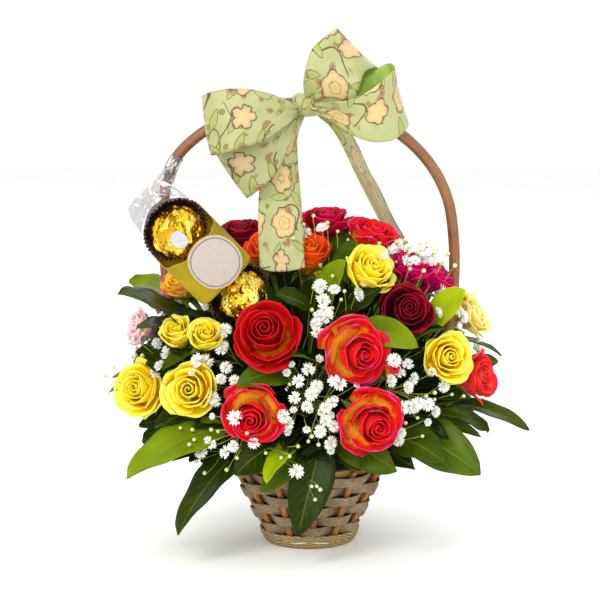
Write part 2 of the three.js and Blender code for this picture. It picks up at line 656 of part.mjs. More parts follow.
function leafSolid(hub, [baseXYZ, tipXYZ, width, tilt], grow) {
  const base = vec(...baseXYZ);
  const tip = vec(...tipXYZ);
  const length = base.distanceTo(tip);
  const sag = vec(0, 0, 0.1 * length);
  const middle = base.clone().add(tip).multiplyScalar(0.5).add(sag);
  const curve = new THREE.QuadraticBezierCurve3(base, middle, tip);
  const outward = middle.clone().sub(domeCentre).normalize().add(vec(0, -0.25, 0.35));
  const spine = tip.clone().sub(base).normalize();
  const across = spine.clone().cross(outward).normalize()
    .applyAxisAngle(spine, THREE.MathUtils.degToRad(tilt));
  const normal = across.clone().cross(spine).normalize();
  const half = leafThickness / 2 + grow;
  const petiole = petioleRadius + grow;
  const ring = (centre, halfWidth, fold) => {
    const wide = halfWidth + grow;
    const edge = Math.min(halfWidth * 0.28, 2.6) * fold;
    const left = centre.clone().addScaledVector(across, -wide).addScaledVector(normal, edge);
    const right = centre.clone().addScaledVector(across, wide).addScaledVector(normal, edge);
    const rise = normal.clone().multiplyScalar(half);
    return [
      left.clone().add(rise), centre.clone().add(rise), right.clone().add(rise),
      right.clone().sub(rise), centre.clone().sub(rise), left.clone().sub(rise),
    ];
  };
  const stalk = (centre) => [
    centre.clone().addScaledVector(across, -petiole).addScaledVector(normal, petiole * 0.5),
    centre.clone().addScaledVector(normal, petiole),
    centre.clone().addScaledVector(across, petiole).addScaledVector(normal, petiole * 0.5),
    centre.clone().addScaledVector(across, petiole).addScaledVector(normal, -petiole * 0.5),
    centre.clone().addScaledVector(normal, -petiole),
    centre.clone().addScaledVector(across, -petiole).addScaledVector(normal, -petiole * 0.5),
  ];
  const knee = hub.clone().lerp(base, 0.5).add(vec(0, 0, kneeLift));
  const outline = width > 18
    ? [[0.02, 0.14, 0], [0.28, 0.86, 1], [0.56, 1, 1], [0.82, 0.62, 1]]
    : [[0.02, 0.14, 0], [0.36, 0.98, 1], [0.74, 0.8, 1]];
  const rings = [stalk(hub), stalk(knee)];
  for (const [t, size, fold] of outline) {
    const centre = curve.getPoint(t);
    rings.push(size < 0.2 ? stalk(centre) : ring(centre, (width / 2) * size, fold));
  }
  rings.push([tip.clone().addScaledVector(spine, grow)]);
  return solidOf(skin(rings, { mirrorFrom: 2 }));
}

// A stem from the hub to a rose's foot, widening into the cup of five sepals.
function stemSolid(hub, head, grow) {
  const axis = vec(...head.facing).normalize();
  const tall = head.tall ?? 1;
  const foot = vec(...head.at).addScaledVector(axis, -0.8 * head.radius * tall - gap - 0.4);
  const neck = foot.clone().addScaledVector(axis, -0.42 * head.radius);
  const knee = hub.clone().lerp(neck, 0.5).add(vec(0, 0, kneeLift));
  const rise = neck.clone().sub(hub).normalize();
  const pentagon = (centre, normal, reach, sink) => {
    const side = vec(0.2, 0.1, 1).cross(normal).normalize();
    const up = normal.clone().cross(side);
    return Array.from({ length: 5 }, (_, j) => {
      const angle = (2 * Math.PI * j) / 5;
      return centre.clone()
        .addScaledVector(side, reach * Math.cos(angle))
        .addScaledVector(up, reach * Math.sin(angle))
        .addScaledVector(normal, -sink);
    });
  };
  return solidOf(skin([
    pentagon(hub, rise, stemRadius + grow, 0),
    pentagon(knee, rise, stemRadius + grow, 0),
    pentagon(neck, axis, stemRadius + 0.2 + grow, 0),
    pentagon(foot, axis, 0.44 * head.radius + grow, 0.05 * head.radius),
    [foot],
  ]));
}

// The stem below a fork. It leans in towards the middle of the foam as it goes down.
function rootStem([hubX, hubY], radius, extra = 0) {
  const top = vec(hubX, hubY, hubHeight + 2);
  const foot = vec(hubX * 0.72, hubY * 0.72, footHeight);
  const along = foot.clone().sub(top).normalize();
  return solidOf(tube([foot.addScaledVector(along, extra), top], () => radius, 6, 1));
}

// The swelling that a spray's stems fork from.
function forkKnuckle(hub, radius) {
  const knuckle = new THREE.IcosahedronGeometry(radius, 0).translate(hub.x, hub.y, hub.z);
  return solidOf(knuckle);
}

function spraySolid(spray, grow = 0) {
  const hub = hubOf(spray);
  const parts = [
    rootStem(spray.hub, sprayStemRadius + grow),
    forkKnuckle(hub, knuckleRadius + grow),
  ];
  for (const bloom of blooms.filter((one) => spray.carries.includes(one.name))) {
    for (const head of [bloom, bloom.twin].filter(Boolean)) {
      parts.push(stemSolid(hub, head, grow));
    }
  }
  for (const leaf of spray.leaves) parts.push(leafSolid(hub, leaf, grow));
  return joined(parts);
}

// ---------------------------------------------------------------- baby's breath
// Florets are listed by x and z where the dome faces front, and by angle and height
// round the rest of it. Each sits just outside the foliage dome.
const breaths = [
  { name: 'breath_front', hub: [-11, -19], front: [[6, 125], [-2, 118], [-11, 124], [10, 112],
    [-8, 105], [3, 104], [12, 100], [-16, 95], [8, 88], [17, 86], [-45, 92], [-34, 78], [-8, 63],
    [28, 164], [12, 154], [0, 151]] },
  { name: 'breath_left', hub: [-20, 8], front: [[-64, 73], [-52, 124], [-57, 114], [-48, 132],
    [-66, 126], [-59, 105], [-88, 118], [-92, 128]],
  round: [[-100, 118], [-112, 140], [-125, 96], [-140, 150]] },
  { name: 'breath_right', hub: [13, -17], front: [[52, 123], [57, 118], [62, 110], [47, 116],
    [51, 99], [60, 97], [68, 100], [79, 109], [53, 84]],
  round: [[70, 150], [96, 122], [112, 140], [118, 92]] },
  { name: 'breath_back', hub: [14, 14], front: [[6, 198], [48, 184], [60, 180], [70, 176],
    [-30, 190]],
  round: [[140, 150], [152, 110], [172, 160], [180, 112], [-166, 150], [-158, 112], [130, 172],
    [-120, 172]] },
];

function floretPlaces(breath) {
  const places = (breath.front ?? []).map(([x, z]) => {
    const rest = 1 - (x / domeReach.x) ** 2 - ((z - domeCentre.z) / domeReach.z) ** 2;
    return vec(x, -domeReach.y * Math.sqrt(Math.max(rest, 0.02)), z);
  });
  for (const [degrees, z] of breath.round ?? []) {
    const angle = THREE.MathUtils.degToRad(degrees);
    const shrink = Math.sqrt(1 - ((z - domeCentre.z) / domeReach.z) ** 2);
    places.push(vec(
      domeReach.x * shrink * Math.sin(angle), -domeReach.y * shrink * Math.cos(angle), z));
  }
  return places;
}

function floretSolid(place, hub, bend) {
  const axis = place.clone().sub(domeCentre).normalize();
  const side = vec(0.3, 0.2, 1).cross(axis).normalize();
  const up = axis.clone().cross(side);
  const star = Array.from({ length: 10 }, (_, j) => {
    const angle = (Math.PI * j) / 5;
    const reach = j % 2 ? floretWaist : floretRadius;
    return place.clone()
      .addScaledVector(side, reach * Math.cos(angle))
      .addScaledVector(up, reach * Math.sin(angle))
      .addScaledVector(axis, j % 2 ? 0.4 : 0);
  });
  const foot = place.clone().addScaledVector(axis, -2);
  const crown = place.clone().addScaledVector(axis, 1.6);
  const root = place.clone().addScaledVector(axis, -1);
  const knee = hub.clone().lerp(root, 0.6)
    .addScaledVector(side, bend[0]).addScaledVector(up, bend[1]);
  const branch = tube([hub, knee, root], () => branchRadius, 3, 2);
  return solidOf(skin([[foot], star, [crown]])).add(solidOf(branch));
}

// A branch that would cross what is already placed is bent until it is clear, and a
// floret that no bend can reach is left off.
const bends = [[0, 0], [5, 0], [-5, 0], [0, 5], [0, -5], [9, 4], [-9, 4], [9, -5], [-9, -5],
  [0, 11], [0, -11], [14, 0], [-14, 0], [14, 8], [-14, 8]];

function breathSolid(breath, taken) {
  const hub = vec(breath.hub[0], breath.hub[1], hubHeight + 2);
  const parts = [
    rootStem(breath.hub, breathStemRadius),
    forkKnuckle(hub, breathKnuckleRadius),
  ];
  for (const place of floretPlaces(breath)) {
    for (const bend of bends) {
      const branch = floretSolid(place, hub, bend);
      if (!touchesAny(branch, taken)) {
        parts.push(branch);
        break;
      }
    }
  }
  return largestBody(joined(parts));
}

// ---------------------------------------------------------------- assembly
addPiece('basket_frame', geometryOf(basketFrame()), colours.cane);
for (let i = 0; i < weaverCount; i += 1) {
  addPiece(`weaver_${i + 1}`, weaver(i), colours.chip, 0.85);
}
addPiece('foot_band', footBand(), colours.straw, 0.85);
addPiece('rim_hoop', rimHoop(), colours.cane, 0.6);
addPiece('liner', liner(), colours.liner, 0.5);
addPiece('handle', handleTube(handleRadius), colours.cane, 0.5);

const holes = [...sprays, ...breaths].map(({ hub }) => rootStem(hub, stemHoleRadius, 1));
const lowFoot = inPack(lowSweet, 0, -sweetRadius - gap - 0.2, 0);
const pickEnd = vec(-8, 8, 48);
const pick = (radius) => solidOf(tube([pickEnd, lowFoot], () => radius, 8, 1));
holes.push(pick(pickRadius + gap));
addPiece('foam', geometryOf(foamBlock(holes)), colours.foam, 0.95);

const fatHandle = solidOf(handleTube(handleRadius + growth));
addPiece('ribbon_knot', geometryOf(knotSolid().subtract(fatHandle)), colours.ribbon, 0.45);
const bowBlockers = [knotSolid(growth), fatHandle];
for (const [name, rows] of Object.entries(ribbonRows)) {
  const steps = name.startsWith('tail') ? 8 : 13;
  const solid = carved(ribbonSolid(rows, steps), bowBlockers);
  addPiece(name, geometryOf(solid), colours.ribbon, 0.45);
  bowBlockers.push(ribbonSolid(rows, steps, growth));
}

const sweetBlockers = [topSweet, middleSweet, lowSweet].map((centre) => sweet(centre, growth));
const sleeveBlocker = sleeveSolid(growth);
const cupBlocker = flutedCup(topSweet, growth);
addPiece('sweet_top', geometryOf(sweet(topSweet)), colours.foil, 0.3, 0.9);
addPiece('sweet_middle', geometryOf(sweet(middleSweet)), colours.foil, 0.3, 0.9);
addPiece('sweet_low', geometryOf(sweet(lowSweet)), colours.foil, 0.3, 0.9);
addPiece('sweets_sleeve', geometryOf(carved(sleeveSolid(), sweetBlockers)), colours.card, 0.5);
const cupTop = carved(flutedCup(topSweet), [...sweetBlockers, sleeveBlocker]);
const cupLow = carved(flutedCup(lowSweet), [...sweetBlockers, sleeveBlocker, ...bowBlockers]);
addPiece('cup_top', geometryOf(cupTop), colours.cup, 0.8);
addPiece('cup_low', geometryOf(cupLow), colours.cup, 0.8);
const film = carved(filmSolid(), [...sweetBlockers, cupBlocker, fatHandle, sleeveBlocker]);
addPiece('sweets_film', geometryOf(film), colours.film, 0.1);
addPiece('sweets_pick', geometryOf(pick(pickRadius)), colours.pick, 0.7);

// The basket's upper wall and rim, as one ring that the flowers keep clear of.
const ringInside = 36;
const ringOutside = wallRadius(54) + 4;
const wallBlocker = solidOf(lathe([[ringInside, 30], [ringOutside, 30], [ringOutside, 54.5],
  [ringInside, 54.5], [ringInside, 30]], 36));
const taken = [fatHandle, ...bowBlockers, ...sweetBlockers, sleeveBlocker, cupBlocker,
  flutedCup(lowSweet, growth), pick(pickRadius + growth), wallBlocker];

const bloomBlockers = [];
for (const bloom of blooms) {
  const solid = carved(roseSolid(bloom), [...taken, ...bloomBlockers]);
  addPiece(bloom.name, geometryOf(solid), bloom.colour, 0.6);
  bloomBlockers.push(roseSolid(bloom, growth));
}

const sprayBlockers = [];
for (const spray of sprays) {
  const solid = carved(spraySolid(spray), [...taken, ...bloomBlockers, ...sprayBlockers]);
  addPiece(spray.name, geometryOf(solid), colours.leaf, 0.4);
  sprayBlockers.push(spraySolid(spray, growth));
}

const breathBlockers = [];
for (const breath of breaths) {
  const solid = breathSolid(
    breath, [...taken, ...bloomBlockers, ...sprayBlockers, ...breathBlockers]);
  addPiece(breath.name, geometryOf(solid), colours.breath, 0.7);
  breathBlockers.push(solid);
}

export default group;
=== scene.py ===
import math
import random

import bpy
from mathutils import Matrix, Vector, noise
from mathutils.bvhtree import BVHTree


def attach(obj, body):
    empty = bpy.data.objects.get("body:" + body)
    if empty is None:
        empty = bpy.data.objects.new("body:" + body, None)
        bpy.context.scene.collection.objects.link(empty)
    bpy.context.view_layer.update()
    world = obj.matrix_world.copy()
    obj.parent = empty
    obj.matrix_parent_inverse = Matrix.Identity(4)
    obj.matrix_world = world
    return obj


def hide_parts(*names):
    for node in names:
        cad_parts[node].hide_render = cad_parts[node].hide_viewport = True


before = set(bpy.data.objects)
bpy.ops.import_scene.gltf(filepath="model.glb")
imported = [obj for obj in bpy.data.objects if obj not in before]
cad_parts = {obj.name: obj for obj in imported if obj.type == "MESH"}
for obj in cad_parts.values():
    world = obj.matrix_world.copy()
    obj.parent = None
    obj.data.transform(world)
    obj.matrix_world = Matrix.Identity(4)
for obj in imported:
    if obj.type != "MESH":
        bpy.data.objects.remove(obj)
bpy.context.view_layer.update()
mm = 0.001


def toLinear(colour):
    channels = [int(colour[i:i + 2], 16) / 255 for i in (1, 3, 5)]
    return [c / 12.92 if c <= 0.04045 else ((c + 0.055) / 1.055) ** 2.4 for c in channels] + [1.0]


def linkTo(tree, source, socket):
    # the source is an output, or a node whose first output is meant
    tree.links.new(getattr(source, "outputs", [source])[0], socket)


def addNode(tree, kind, values=None, links=None):
    node = tree.nodes.new("ShaderNode" + kind)
    for key, value in (values or {}).items():
        if key == "stops":
            ramp = node.color_ramp
            for place, _ in value[1:-1]:
                ramp.elements.new(place)
            for element, (place, colour) in zip(ramp.elements, value):
                element.position = place
                element.color = toLinear(colour)
        elif isinstance(key, str) and hasattr(node, key):
            setattr(node, key, value)
        else:
            node.inputs[key].default_value = value
    for key, source in (links or {}).items():
        linkTo(tree, source, node.inputs[key])
    return node


def startMaterial(name, colour, surface):
    material = bpy.data.materials.new(name)
    material.use_nodes = True
    shader = material.node_tree.nodes["Principled BSDF"]
    shader.inputs["Base Color"].default_value = toLinear(colour)
    for key, value in surface.items():
        shader.inputs[key].default_value = value
    return material, material.node_tree, shader


def bumpFrom(tree, shader, height, distance, strength=1.0):
    bump = addNode(tree, "Bump", {"Distance": distance, "Strength": strength}, {"Height": height})
    linkTo(tree, bump, shader.inputs["Normal"])


def deselectAll():
    if bpy.context.object and bpy.context.object.mode != "OBJECT":
        bpy.ops.object.mode_set(mode="OBJECT")
    bpy.ops.object.select_all(action="DESELECT")


def makeActive(piece):
    deselectAll()
    piece.select_set(True)
    bpy.context.view_layer.objects.active = piece


def applyModifier(piece, kind, **settings):
    makeActive(piece)
    modifier = piece.modifiers.new(kind.title(), kind)
    for key, value in settings.items():
        setattr(modifier, key, value)
    bpy.ops.object.modifier_apply(modifier=modifier.name)


def addGrid(name, across, along):
    deselectAll()
    bpy.ops.mesh.primitive_grid_add(x_subdivisions=across, y_subdivisions=along, size=2)
    grid = bpy.context.object
    grid.name = name
    return grid


def copyOf(model, name):
    copied = model.copy()
    copied.data = model.data.copy()
    copied.name = name
    bpy.context.scene.collection.objects.link(copied)
    return copied


def joinPieces(name, parts):
    deselectAll()
    for part in parts:
        part.select_set(True)
    bpy.context.view_layer.objects.active = parts[0]
    if len(parts) > 1:
        bpy.ops.object.join()
    parts[0].name = name
    parts[0].data.name = name
    return parts[0]


def setAttribute(mesh, name, values):
    layer = mesh.attributes.get(name) or mesh.attributes.new(name, "FLOAT", "POINT")
    layer.data.foreach_set("value", values)


def setShades(piece, rims, tones):
    # petals and leaves take their colour from these two: the way out to the rim, and light or dark
    setAttribute(piece.data, "rim", rims)
    setAttribute(piece.data, "tone", tones)


def setUv(piece, places):
    uvs = piece.data.uv_layers.active.data
    for corner in piece.data.loops:
        uvs[corner.index].uv = places[corner.vertex_index]


def reshape(piece, placeAt):
    for vertex in piece.data.vertices:
        vertex.co = placeAt(vertex.co)


def dress(piece, materials, smooth=True):
    piece.data.materials.clear()
    for material in materials:
        piece.data.materials.append(material)
    if smooth:
        piece.data.polygons.foreach_set("use_smooth", [True] * len(piece.data.polygons))


builtPieces = []


def finishPiece(piece, nodes):
    builtPieces.append(piece)
    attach(piece, "root")
    if nodes:
        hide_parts(*nodes)


def smoothCurve(points, t):
    # centripetal Catmull-Rom through the listed points
    last = len(points) - 1
    place = t * last
    i = min(int(place), last - 1)
    w = place - i
    p1, p2 = points[i], points[i + 1]
    p0 = points[i - 1] if i > 0 else p1 * 2 - p2
    p3 = points[i + 2] if i + 2 <= last else p2 * 2 - p1
    d0, d1, d2 = [max((a - b).length ** 0.5, 1e-4) for a, b in ((p1, p0), (p2, p1), (p3, p2))]
    t1 = ((p1 - p0) / d0 - (p2 - p0) / (d0 + d1) + (p2 - p1) / d1) * d1
    t2 = ((p2 - p1) / d1 - (p3 - p1) / (d1 + d2) + (p3 - p2) / d2) * d1
    return p1 + t1 * w + (p1 * -3 + p2 * 3 - t1 * 2 - t2) * w ** 2 + (p1 * 2 - p2 * 2 + t1 + t2) * w ** 3


def stemsFrom(name, paths):
    # each path is a list of (point, radius), all bevelled in one curve and made a mesh
    deselectAll()
    curve = bpy.data.curves.new(name, "CURVE")
    curve.dimensions = "3D"
    curve.bevel_depth = 1.0
    curve.bevel_resolution = 1
    curve.resolution_u = 4
    curve.use_fill_caps = True
    for path in paths:
        spline = curve.splines.new("NURBS")
        spline.points.add(len(path) - 1)
        for point, (place, radius) in zip(spline.points, path):
            point.co = (*place, 1.0)
            point.radius = radius
        spline.order_u = min(4, len(path))
        spline.use_endpoint_u = True
    stems = bpy.data.objects.new(name, curve)
    bpy.context.scene.collection.objects.link(stems)
    makeActive(stems)
    bpy.ops.object.convert(target="MESH")
    stems = bpy.context.object
    count = len(stems.data.vertices)
    setShades(stems, [0.5] * count, [0.5] * count)
    return stems


# camera and light
view = {"elevation": 8.0, "distance": 1.320, "target": (-0.0059, 0.0, 0.1516), "lens": 127.74}


def makeCamera():
    lift = math.radians(view["elevation"])
    target = Vector(view["target"])
    back = Vector((0, -math.cos(lift), math.sin(lift)))
    bpy.ops.object.camera_add(location=target + back * view["distance"])
    lens = bpy.context.object
    lens.rotation_mode = "QUATERNION"
    lens.rotation_quaternion = (-back).to_track_quat("-Z", "Y")
    lens.data.lens = view["lens"]
    lens.data.clip_start = 0.01
    bpy.context.scene.camera = lens
    return lens.location.copy()


lights = [
    {"at": (-0.8, -1.3, 1.3), "size": 0.6, "watts": 15, "colour": "#FFFBF2"},
    {"at": (-0.15, -1.5, 0.6), "size": 0.5, "watts": 8, "colour": "#FFFFFF"},
    {"at": (1.2, -0.8, 0.8), "size": 0.9, "watts": 6, "colour": "#F8FAFF"},
    {"at": (0.3, 1.1, 1.3), "size": 1.0, "watts": 9, "colour": "#FFFFFF"},
]


def makeStage():
    deselectAll()
    bpy.ops.mesh.primitive_plane_add(size=6)
    floor = bpy.context.object
    floor.name = "studio_floor"
    # seamless paper, felted in faint clouds 10 cm across with a fine tooth
    material, tree, shader = startMaterial("matt white studio paper", "#FAFAF8", {"Roughness": 0.9})
    places = addNode(tree, "TexCoord").outputs["Object"]
    clouds = addNode(tree, "TexNoise", {"Scale": 10.0, "Detail": 3.0}, {"Vector": places})
    colour = addNode(tree, "ValToRGB", {"stops": [(0.3, "#F8F8F6"), (0.7, "#FCFCFA")]}, {"Fac": clouds})
    linkTo(tree, colour, shader.inputs["Base Color"])
    tooth = addNode(tree, "TexNoise", {"Scale": 900.0}, {"Vector": places})
    bumpFrom(tree, shader, tooth, 0.0001, 0.3)
    floor.data.materials.append(material)
    for light in lights:
        bpy.ops.object.light_add(type="AREA", location=light["at"])
        lamp = bpy.context.object
        lamp.data.energy = light["watts"]
        lamp.data.size = light["size"]
        lamp.data.color = toLinear(light["colour"])[:3]
        aim = Vector((0, 0, 0.13)) - lamp.location
        lamp.rotation_euler = aim.to_track_quat("-Z", "Y").to_euler()
    world = bpy.data.worlds.new("white studio")
    world.use_nodes = True
    world.node_tree.nodes["Background"].inputs["Color"].default_value = (1, 1, 1, 1)
    world.node_tree.nodes["Background"].inputs["Strength"].default_value = 1.0
    bpy.context.scene.world = world
    bpy.context.scene.view_settings.view_transform = "Standard"


cameraPlace = makeCamera()
makeStage()
print("camera and studio ready")


# Rose petals are matt and velvety, a little see-through, and streaked along their length.
# Each has the stops of its face and of its back, from the petal's foot to its rim.
petalColours = {
    "red": ([(0, "#E89414"), (0.34, "#E0700E"), (0.47, "#B81808"), (0.6, "#AC0606"), (0.85, "#AE0609"),
             (1, "#A60822")],
            [(0, "#B89040"), (0.3, "#B03012"), (0.55, "#A00408"), (1, "#A6060E")]),
    "flame": ([(0, "#FF9E10"), (0.36, "#FFC034"), (0.47, "#FC901C"), (0.58, "#DC280A"), (0.84, "#C8060C"),
               (0.93, "#C60C3C"), (1, "#CE3468")],
              [(0, "#D8C85A"), (0.32, "#F6C23A"), (0.52, "#F08A2C"), (0.65, "#D02614"), (0.86, "#C60A18"),
               (0.94, "#C81450"), (1, "#D04478")]),
    "yellow": ([(0, "#F49600"), (0.4, "#FFC000"), (0.72, "#FFD60A"), (1, "#FFE650")],
               [(0, "#DCD030"), (0.4, "#FCD010"), (0.8, "#FFDC20"), (1, "#FFE650")]),
    "wine": ([(0, "#0A0003"), (0.5, "#32000A"), (0.85, "#620013"), (1, "#76031D")],
             [(0, "#3A1012"), (0.4, "#5A0013"), (1, "#72031B")]),
    "magenta": ([(0, "#3A0218"), (0.5, "#980340"), (1, "#C80458")],
                [(0, "#984858"), (0.35, "#AC0448"), (1, "#D00860")]),
    "crimson": ([(0, "#2A020C"), (0.5, "#820314"), (1, "#B4082C")],
                [(0, "#7A3028"), (0.35, "#980420"), (1, "#BC0A38")]),
    "orange": ([(0, "#F4A810"), (0.4, "#F0700E"), (0.8, "#E43A0C"), (1, "#DA2010")],
               [(0, "#E4BC30"), (0.35, "#F49A14"), (0.7, "#EE6412"), (1, "#D82814")]),
    "blush": ([(0, "#EA9A08"), (0.5, "#F6C00C"), (0.84, "#F6BC20"), (0.94, "#E66A50"), (1, "#C8206A")],
              [(0, "#C8C460"), (0.5, "#F4CA20"), (0.82, "#F4BC28"), (0.93, "#E26A60"), (1, "#C41E6A")]),
    "pink": ([(0, "#E08C90"), (0.5, "#EEA8B2"), (1, "#F4C6C8")],
             [(0, "#D4C48C"), (0.4, "#ECA4AE"), (1, "#F2C2C6")]),
    "cream": ([(0, "#DC9C10"), (0.5, "#EEC43C"), (1, "#F2DA74")],
              [(0, "#C8C05C"), (0.5, "#ECC858"), (1, "#F2DA74")]),
    "apricot": ([(0, "#F0B040"), (0.5, "#F08038"), (0.66, "#EC4A2C"), (0.82, "#DE1418"), (1, "#D40A30")],
                [(0, "#D8B450"), (0.35, "#F0A048"), (0.6, "#E2382C"), (1, "#D41028")]),
}


def petalMaterial(name, stops, depth):
    material, tree, shader = startMaterial(name, "#C02020", {
        "Roughness": 0.55, "Specular IOR Level": 0.12, "Subsurface Weight": 0.8, "Subsurface Scale": depth,
        "Subsurface Radius": (1.0, 0.8, 0.6)})
    uv = addNode(tree, "UVMap")
    rim = addNode(tree, "Attribute", {"attribute_name": "rim"}).outputs["Fac"]
    tone = addNode(tree, "Attribute", {"attribute_name": "tone"}).outputs["Fac"]
    stretched = addNode(tree, "Mapping", {"Scale": (30, 1.4, 1)}, {"Vector": uv})
    veins = addNode(tree, "TexNoise", {"Scale": 1.0, "Detail": 2.0}, {"Vector": stretched})
    places = addNode(tree, "TexCoord").outputs["Object"]
    # cloudy patches about 7 mm across
    patches = addNode(tree, "TexNoise", {"Scale": 140.0, "Detail": 1.0}, {"Vector": places})
    shifted = addNode(tree, "Math", {"operation": "MULTIPLY_ADD", 1: 0.16}, {0: veins, 2: rim})
    shifted = addNode(tree, "Math", {"operation": "MULTIPLY_ADD", 1: 0.34}, {0: patches, 2: shifted})
    centred = addNode(tree, "Math", {"operation": "SUBTRACT", 1: 0.25}, {0: shifted})
    colour = addNode(tree, "ValToRGB", {"stops": stops}, {"Fac": centred})
    bright = addNode(tree, "MapRange", {"To Min": 0.88, "To Max": 1.12}, {"Value": tone})
    toned = addNode(tree, "HueSaturation", {}, {"Color": colour, "Value": bright})
    linkTo(tree, toned, shader.inputs["Base Color"])
    bumpFrom(tree, shader, veins, 0.0002, 0.35)
    return material


petalMaterials = {
    name: [petalMaterial(f"rose petal {side}, {name}", stops, 0.005 if name in ("yellow", "cream", "pink") else 0.003)
           for side, stops in (("back", back), ("face", face))]
    for name, (face, back) in petalColours.items()}


def leafMaterial(name, stops, roughness):
    # waxy evergreen leaf: smooth cuticle with soft highlights, sunken pale veins 5 to 9 mm apart
    material, tree, shader = startMaterial(name, "#2F5A1E", {"Roughness": roughness, "Specular IOR Level": 0.08})
    uv = addNode(tree, "SeparateXYZ", {}, {"Vector": addNode(tree, "UVMap")})
    tone = addNode(tree, "Attribute", {"attribute_name": "tone"}).outputs["Fac"]
    centred = addNode(tree, "Math", {"operation": "SUBTRACT", 1: 0.5}, {0: uv.outputs["X"]})
    side = addNode(tree, "Math", {"operation": "ABSOLUTE"}, {0: centred})
    slant = addNode(tree, "Math", {"operation": "MULTIPLY", 1: -4.2}, {0: side})
    phase = addNode(tree, "Math", {"operation": "MULTIPLY_ADD", 1: 8.0}, {0: uv.outputs["Y"], 2: slant})
    repeat = addNode(tree, "Math", {"operation": "PINGPONG", 1: 0.5}, {0: phase})
    lateral = addNode(tree, "MapRange", {"From Max": 0.075, "To Min": 1.0, "To Max": 0.0,
                                         "interpolation_type": "SMOOTHSTEP"}, {"Value": repeat})
    fade = addNode(tree, "MapRange", {"From Max": 0.46, "To Min": 0.55, "To Max": 0.0}, {"Value": side})
    lateral = addNode(tree, "Math", {"operation": "MULTIPLY"}, {0: lateral, 1: fade})
    midrib = addNode(tree, "MapRange", {"From Max": 0.03, "To Min": 1.0, "To Max": 0.0,
                                        "interpolation_type": "SMOOTHSTEP"}, {"Value": side})
    veins = addNode(tree, "Math", {"operation": "MAXIMUM"}, {0: lateral, 1: midrib})
    places = addNode(tree, "TexCoord").outputs["Object"]
    patches = addNode(tree, "TexNoise", {"Scale": 70.0, "Detail": 3.0}, {"Vector": places})
    shade = addNode(tree, "Math", {"operation": "MULTIPLY_ADD", 1: 0.28}, {0: patches, 2: tone})
    shade = addNode(tree, "Math", {"operation": "SUBTRACT", 1: 0.14}, {0: shade})
    colour = addNode(tree, "ValToRGB", {"stops": stops}, {"Fac": shade})
    strength = addNode(tree, "Math", {"operation": "MULTIPLY", 1: 0.3}, {0: veins})
    pale = addNode(tree, "Mix", {"data_type": "RGBA", "B": toLinear("#8FA83A")}, {"Factor": strength, "A": colour})
    linkTo(tree, pale.outputs[2], shader.inputs["Base Color"])
    bumpFrom(tree, shader, veins, -0.0005, 0.6)
    return material


leafFace = leafMaterial("waxy leaf upper side", [
    (0, "#101802"), (0.22, "#243402"), (0.45, "#44580A"), (0.72, "#728806"), (1, "#A6B60E")], 0.3)
leafBack = leafMaterial("matt leaf underside", [
    (0, "#243A08"), (0.3, "#42580E"), (0.6, "#6E8420"), (1, "#A4B034")], 0.5)


def mottledMaterial(name, low, high, roughness, patch=0.005, detail=2.0, bump=(0.0003, 0.4)):
    # a matt surface, mottled between two colours in patches of the given size in metres
    material, tree, shader = startMaterial(name, low, {"Roughness": roughness})
    places = addNode(tree, "TexCoord").outputs["Object"]
    patches = addNode(tree, "TexNoise", {"Scale": 1 / patch, "Detail": detail}, {"Vector": places})
    colour = addNode(tree, "ValToRGB", {"stops": [(0.3, low), (0.7, high)]}, {"Fac": patches})
    linkTo(tree, colour, shader.inputs["Base Color"])
    if bump:
        bumpFrom(tree, shader, patches, *bump)
    return material


# soft plant skins, mottled over about 5 mm
stemGreen = mottledMaterial("rose stem skin", "#3C5A1C", "#6A8030", 0.5)
twigGreen = mottledMaterial("thin breath twig", "#76902E", "#B4BE50", 0.55)
floretWhite = mottledMaterial("papery white floret", "#DCDDD4", "#ECEDE6", 0.6)
floretEye = mottledMaterial("green floret eye", "#8E9A38", "#B8BE68", 0.6)
budCream = mottledMaterial("closed breath bud", "#B4BE74", "#CED2A4", 0.5)

# roses
roseShape = {"golden": 2.39996, "foot": 0.16, "footDrop": -0.72, "thickness": 0.0004, "lipFrom": 0.72,
             "lipRun": 0.28, "petalGrid": (11, 16)}
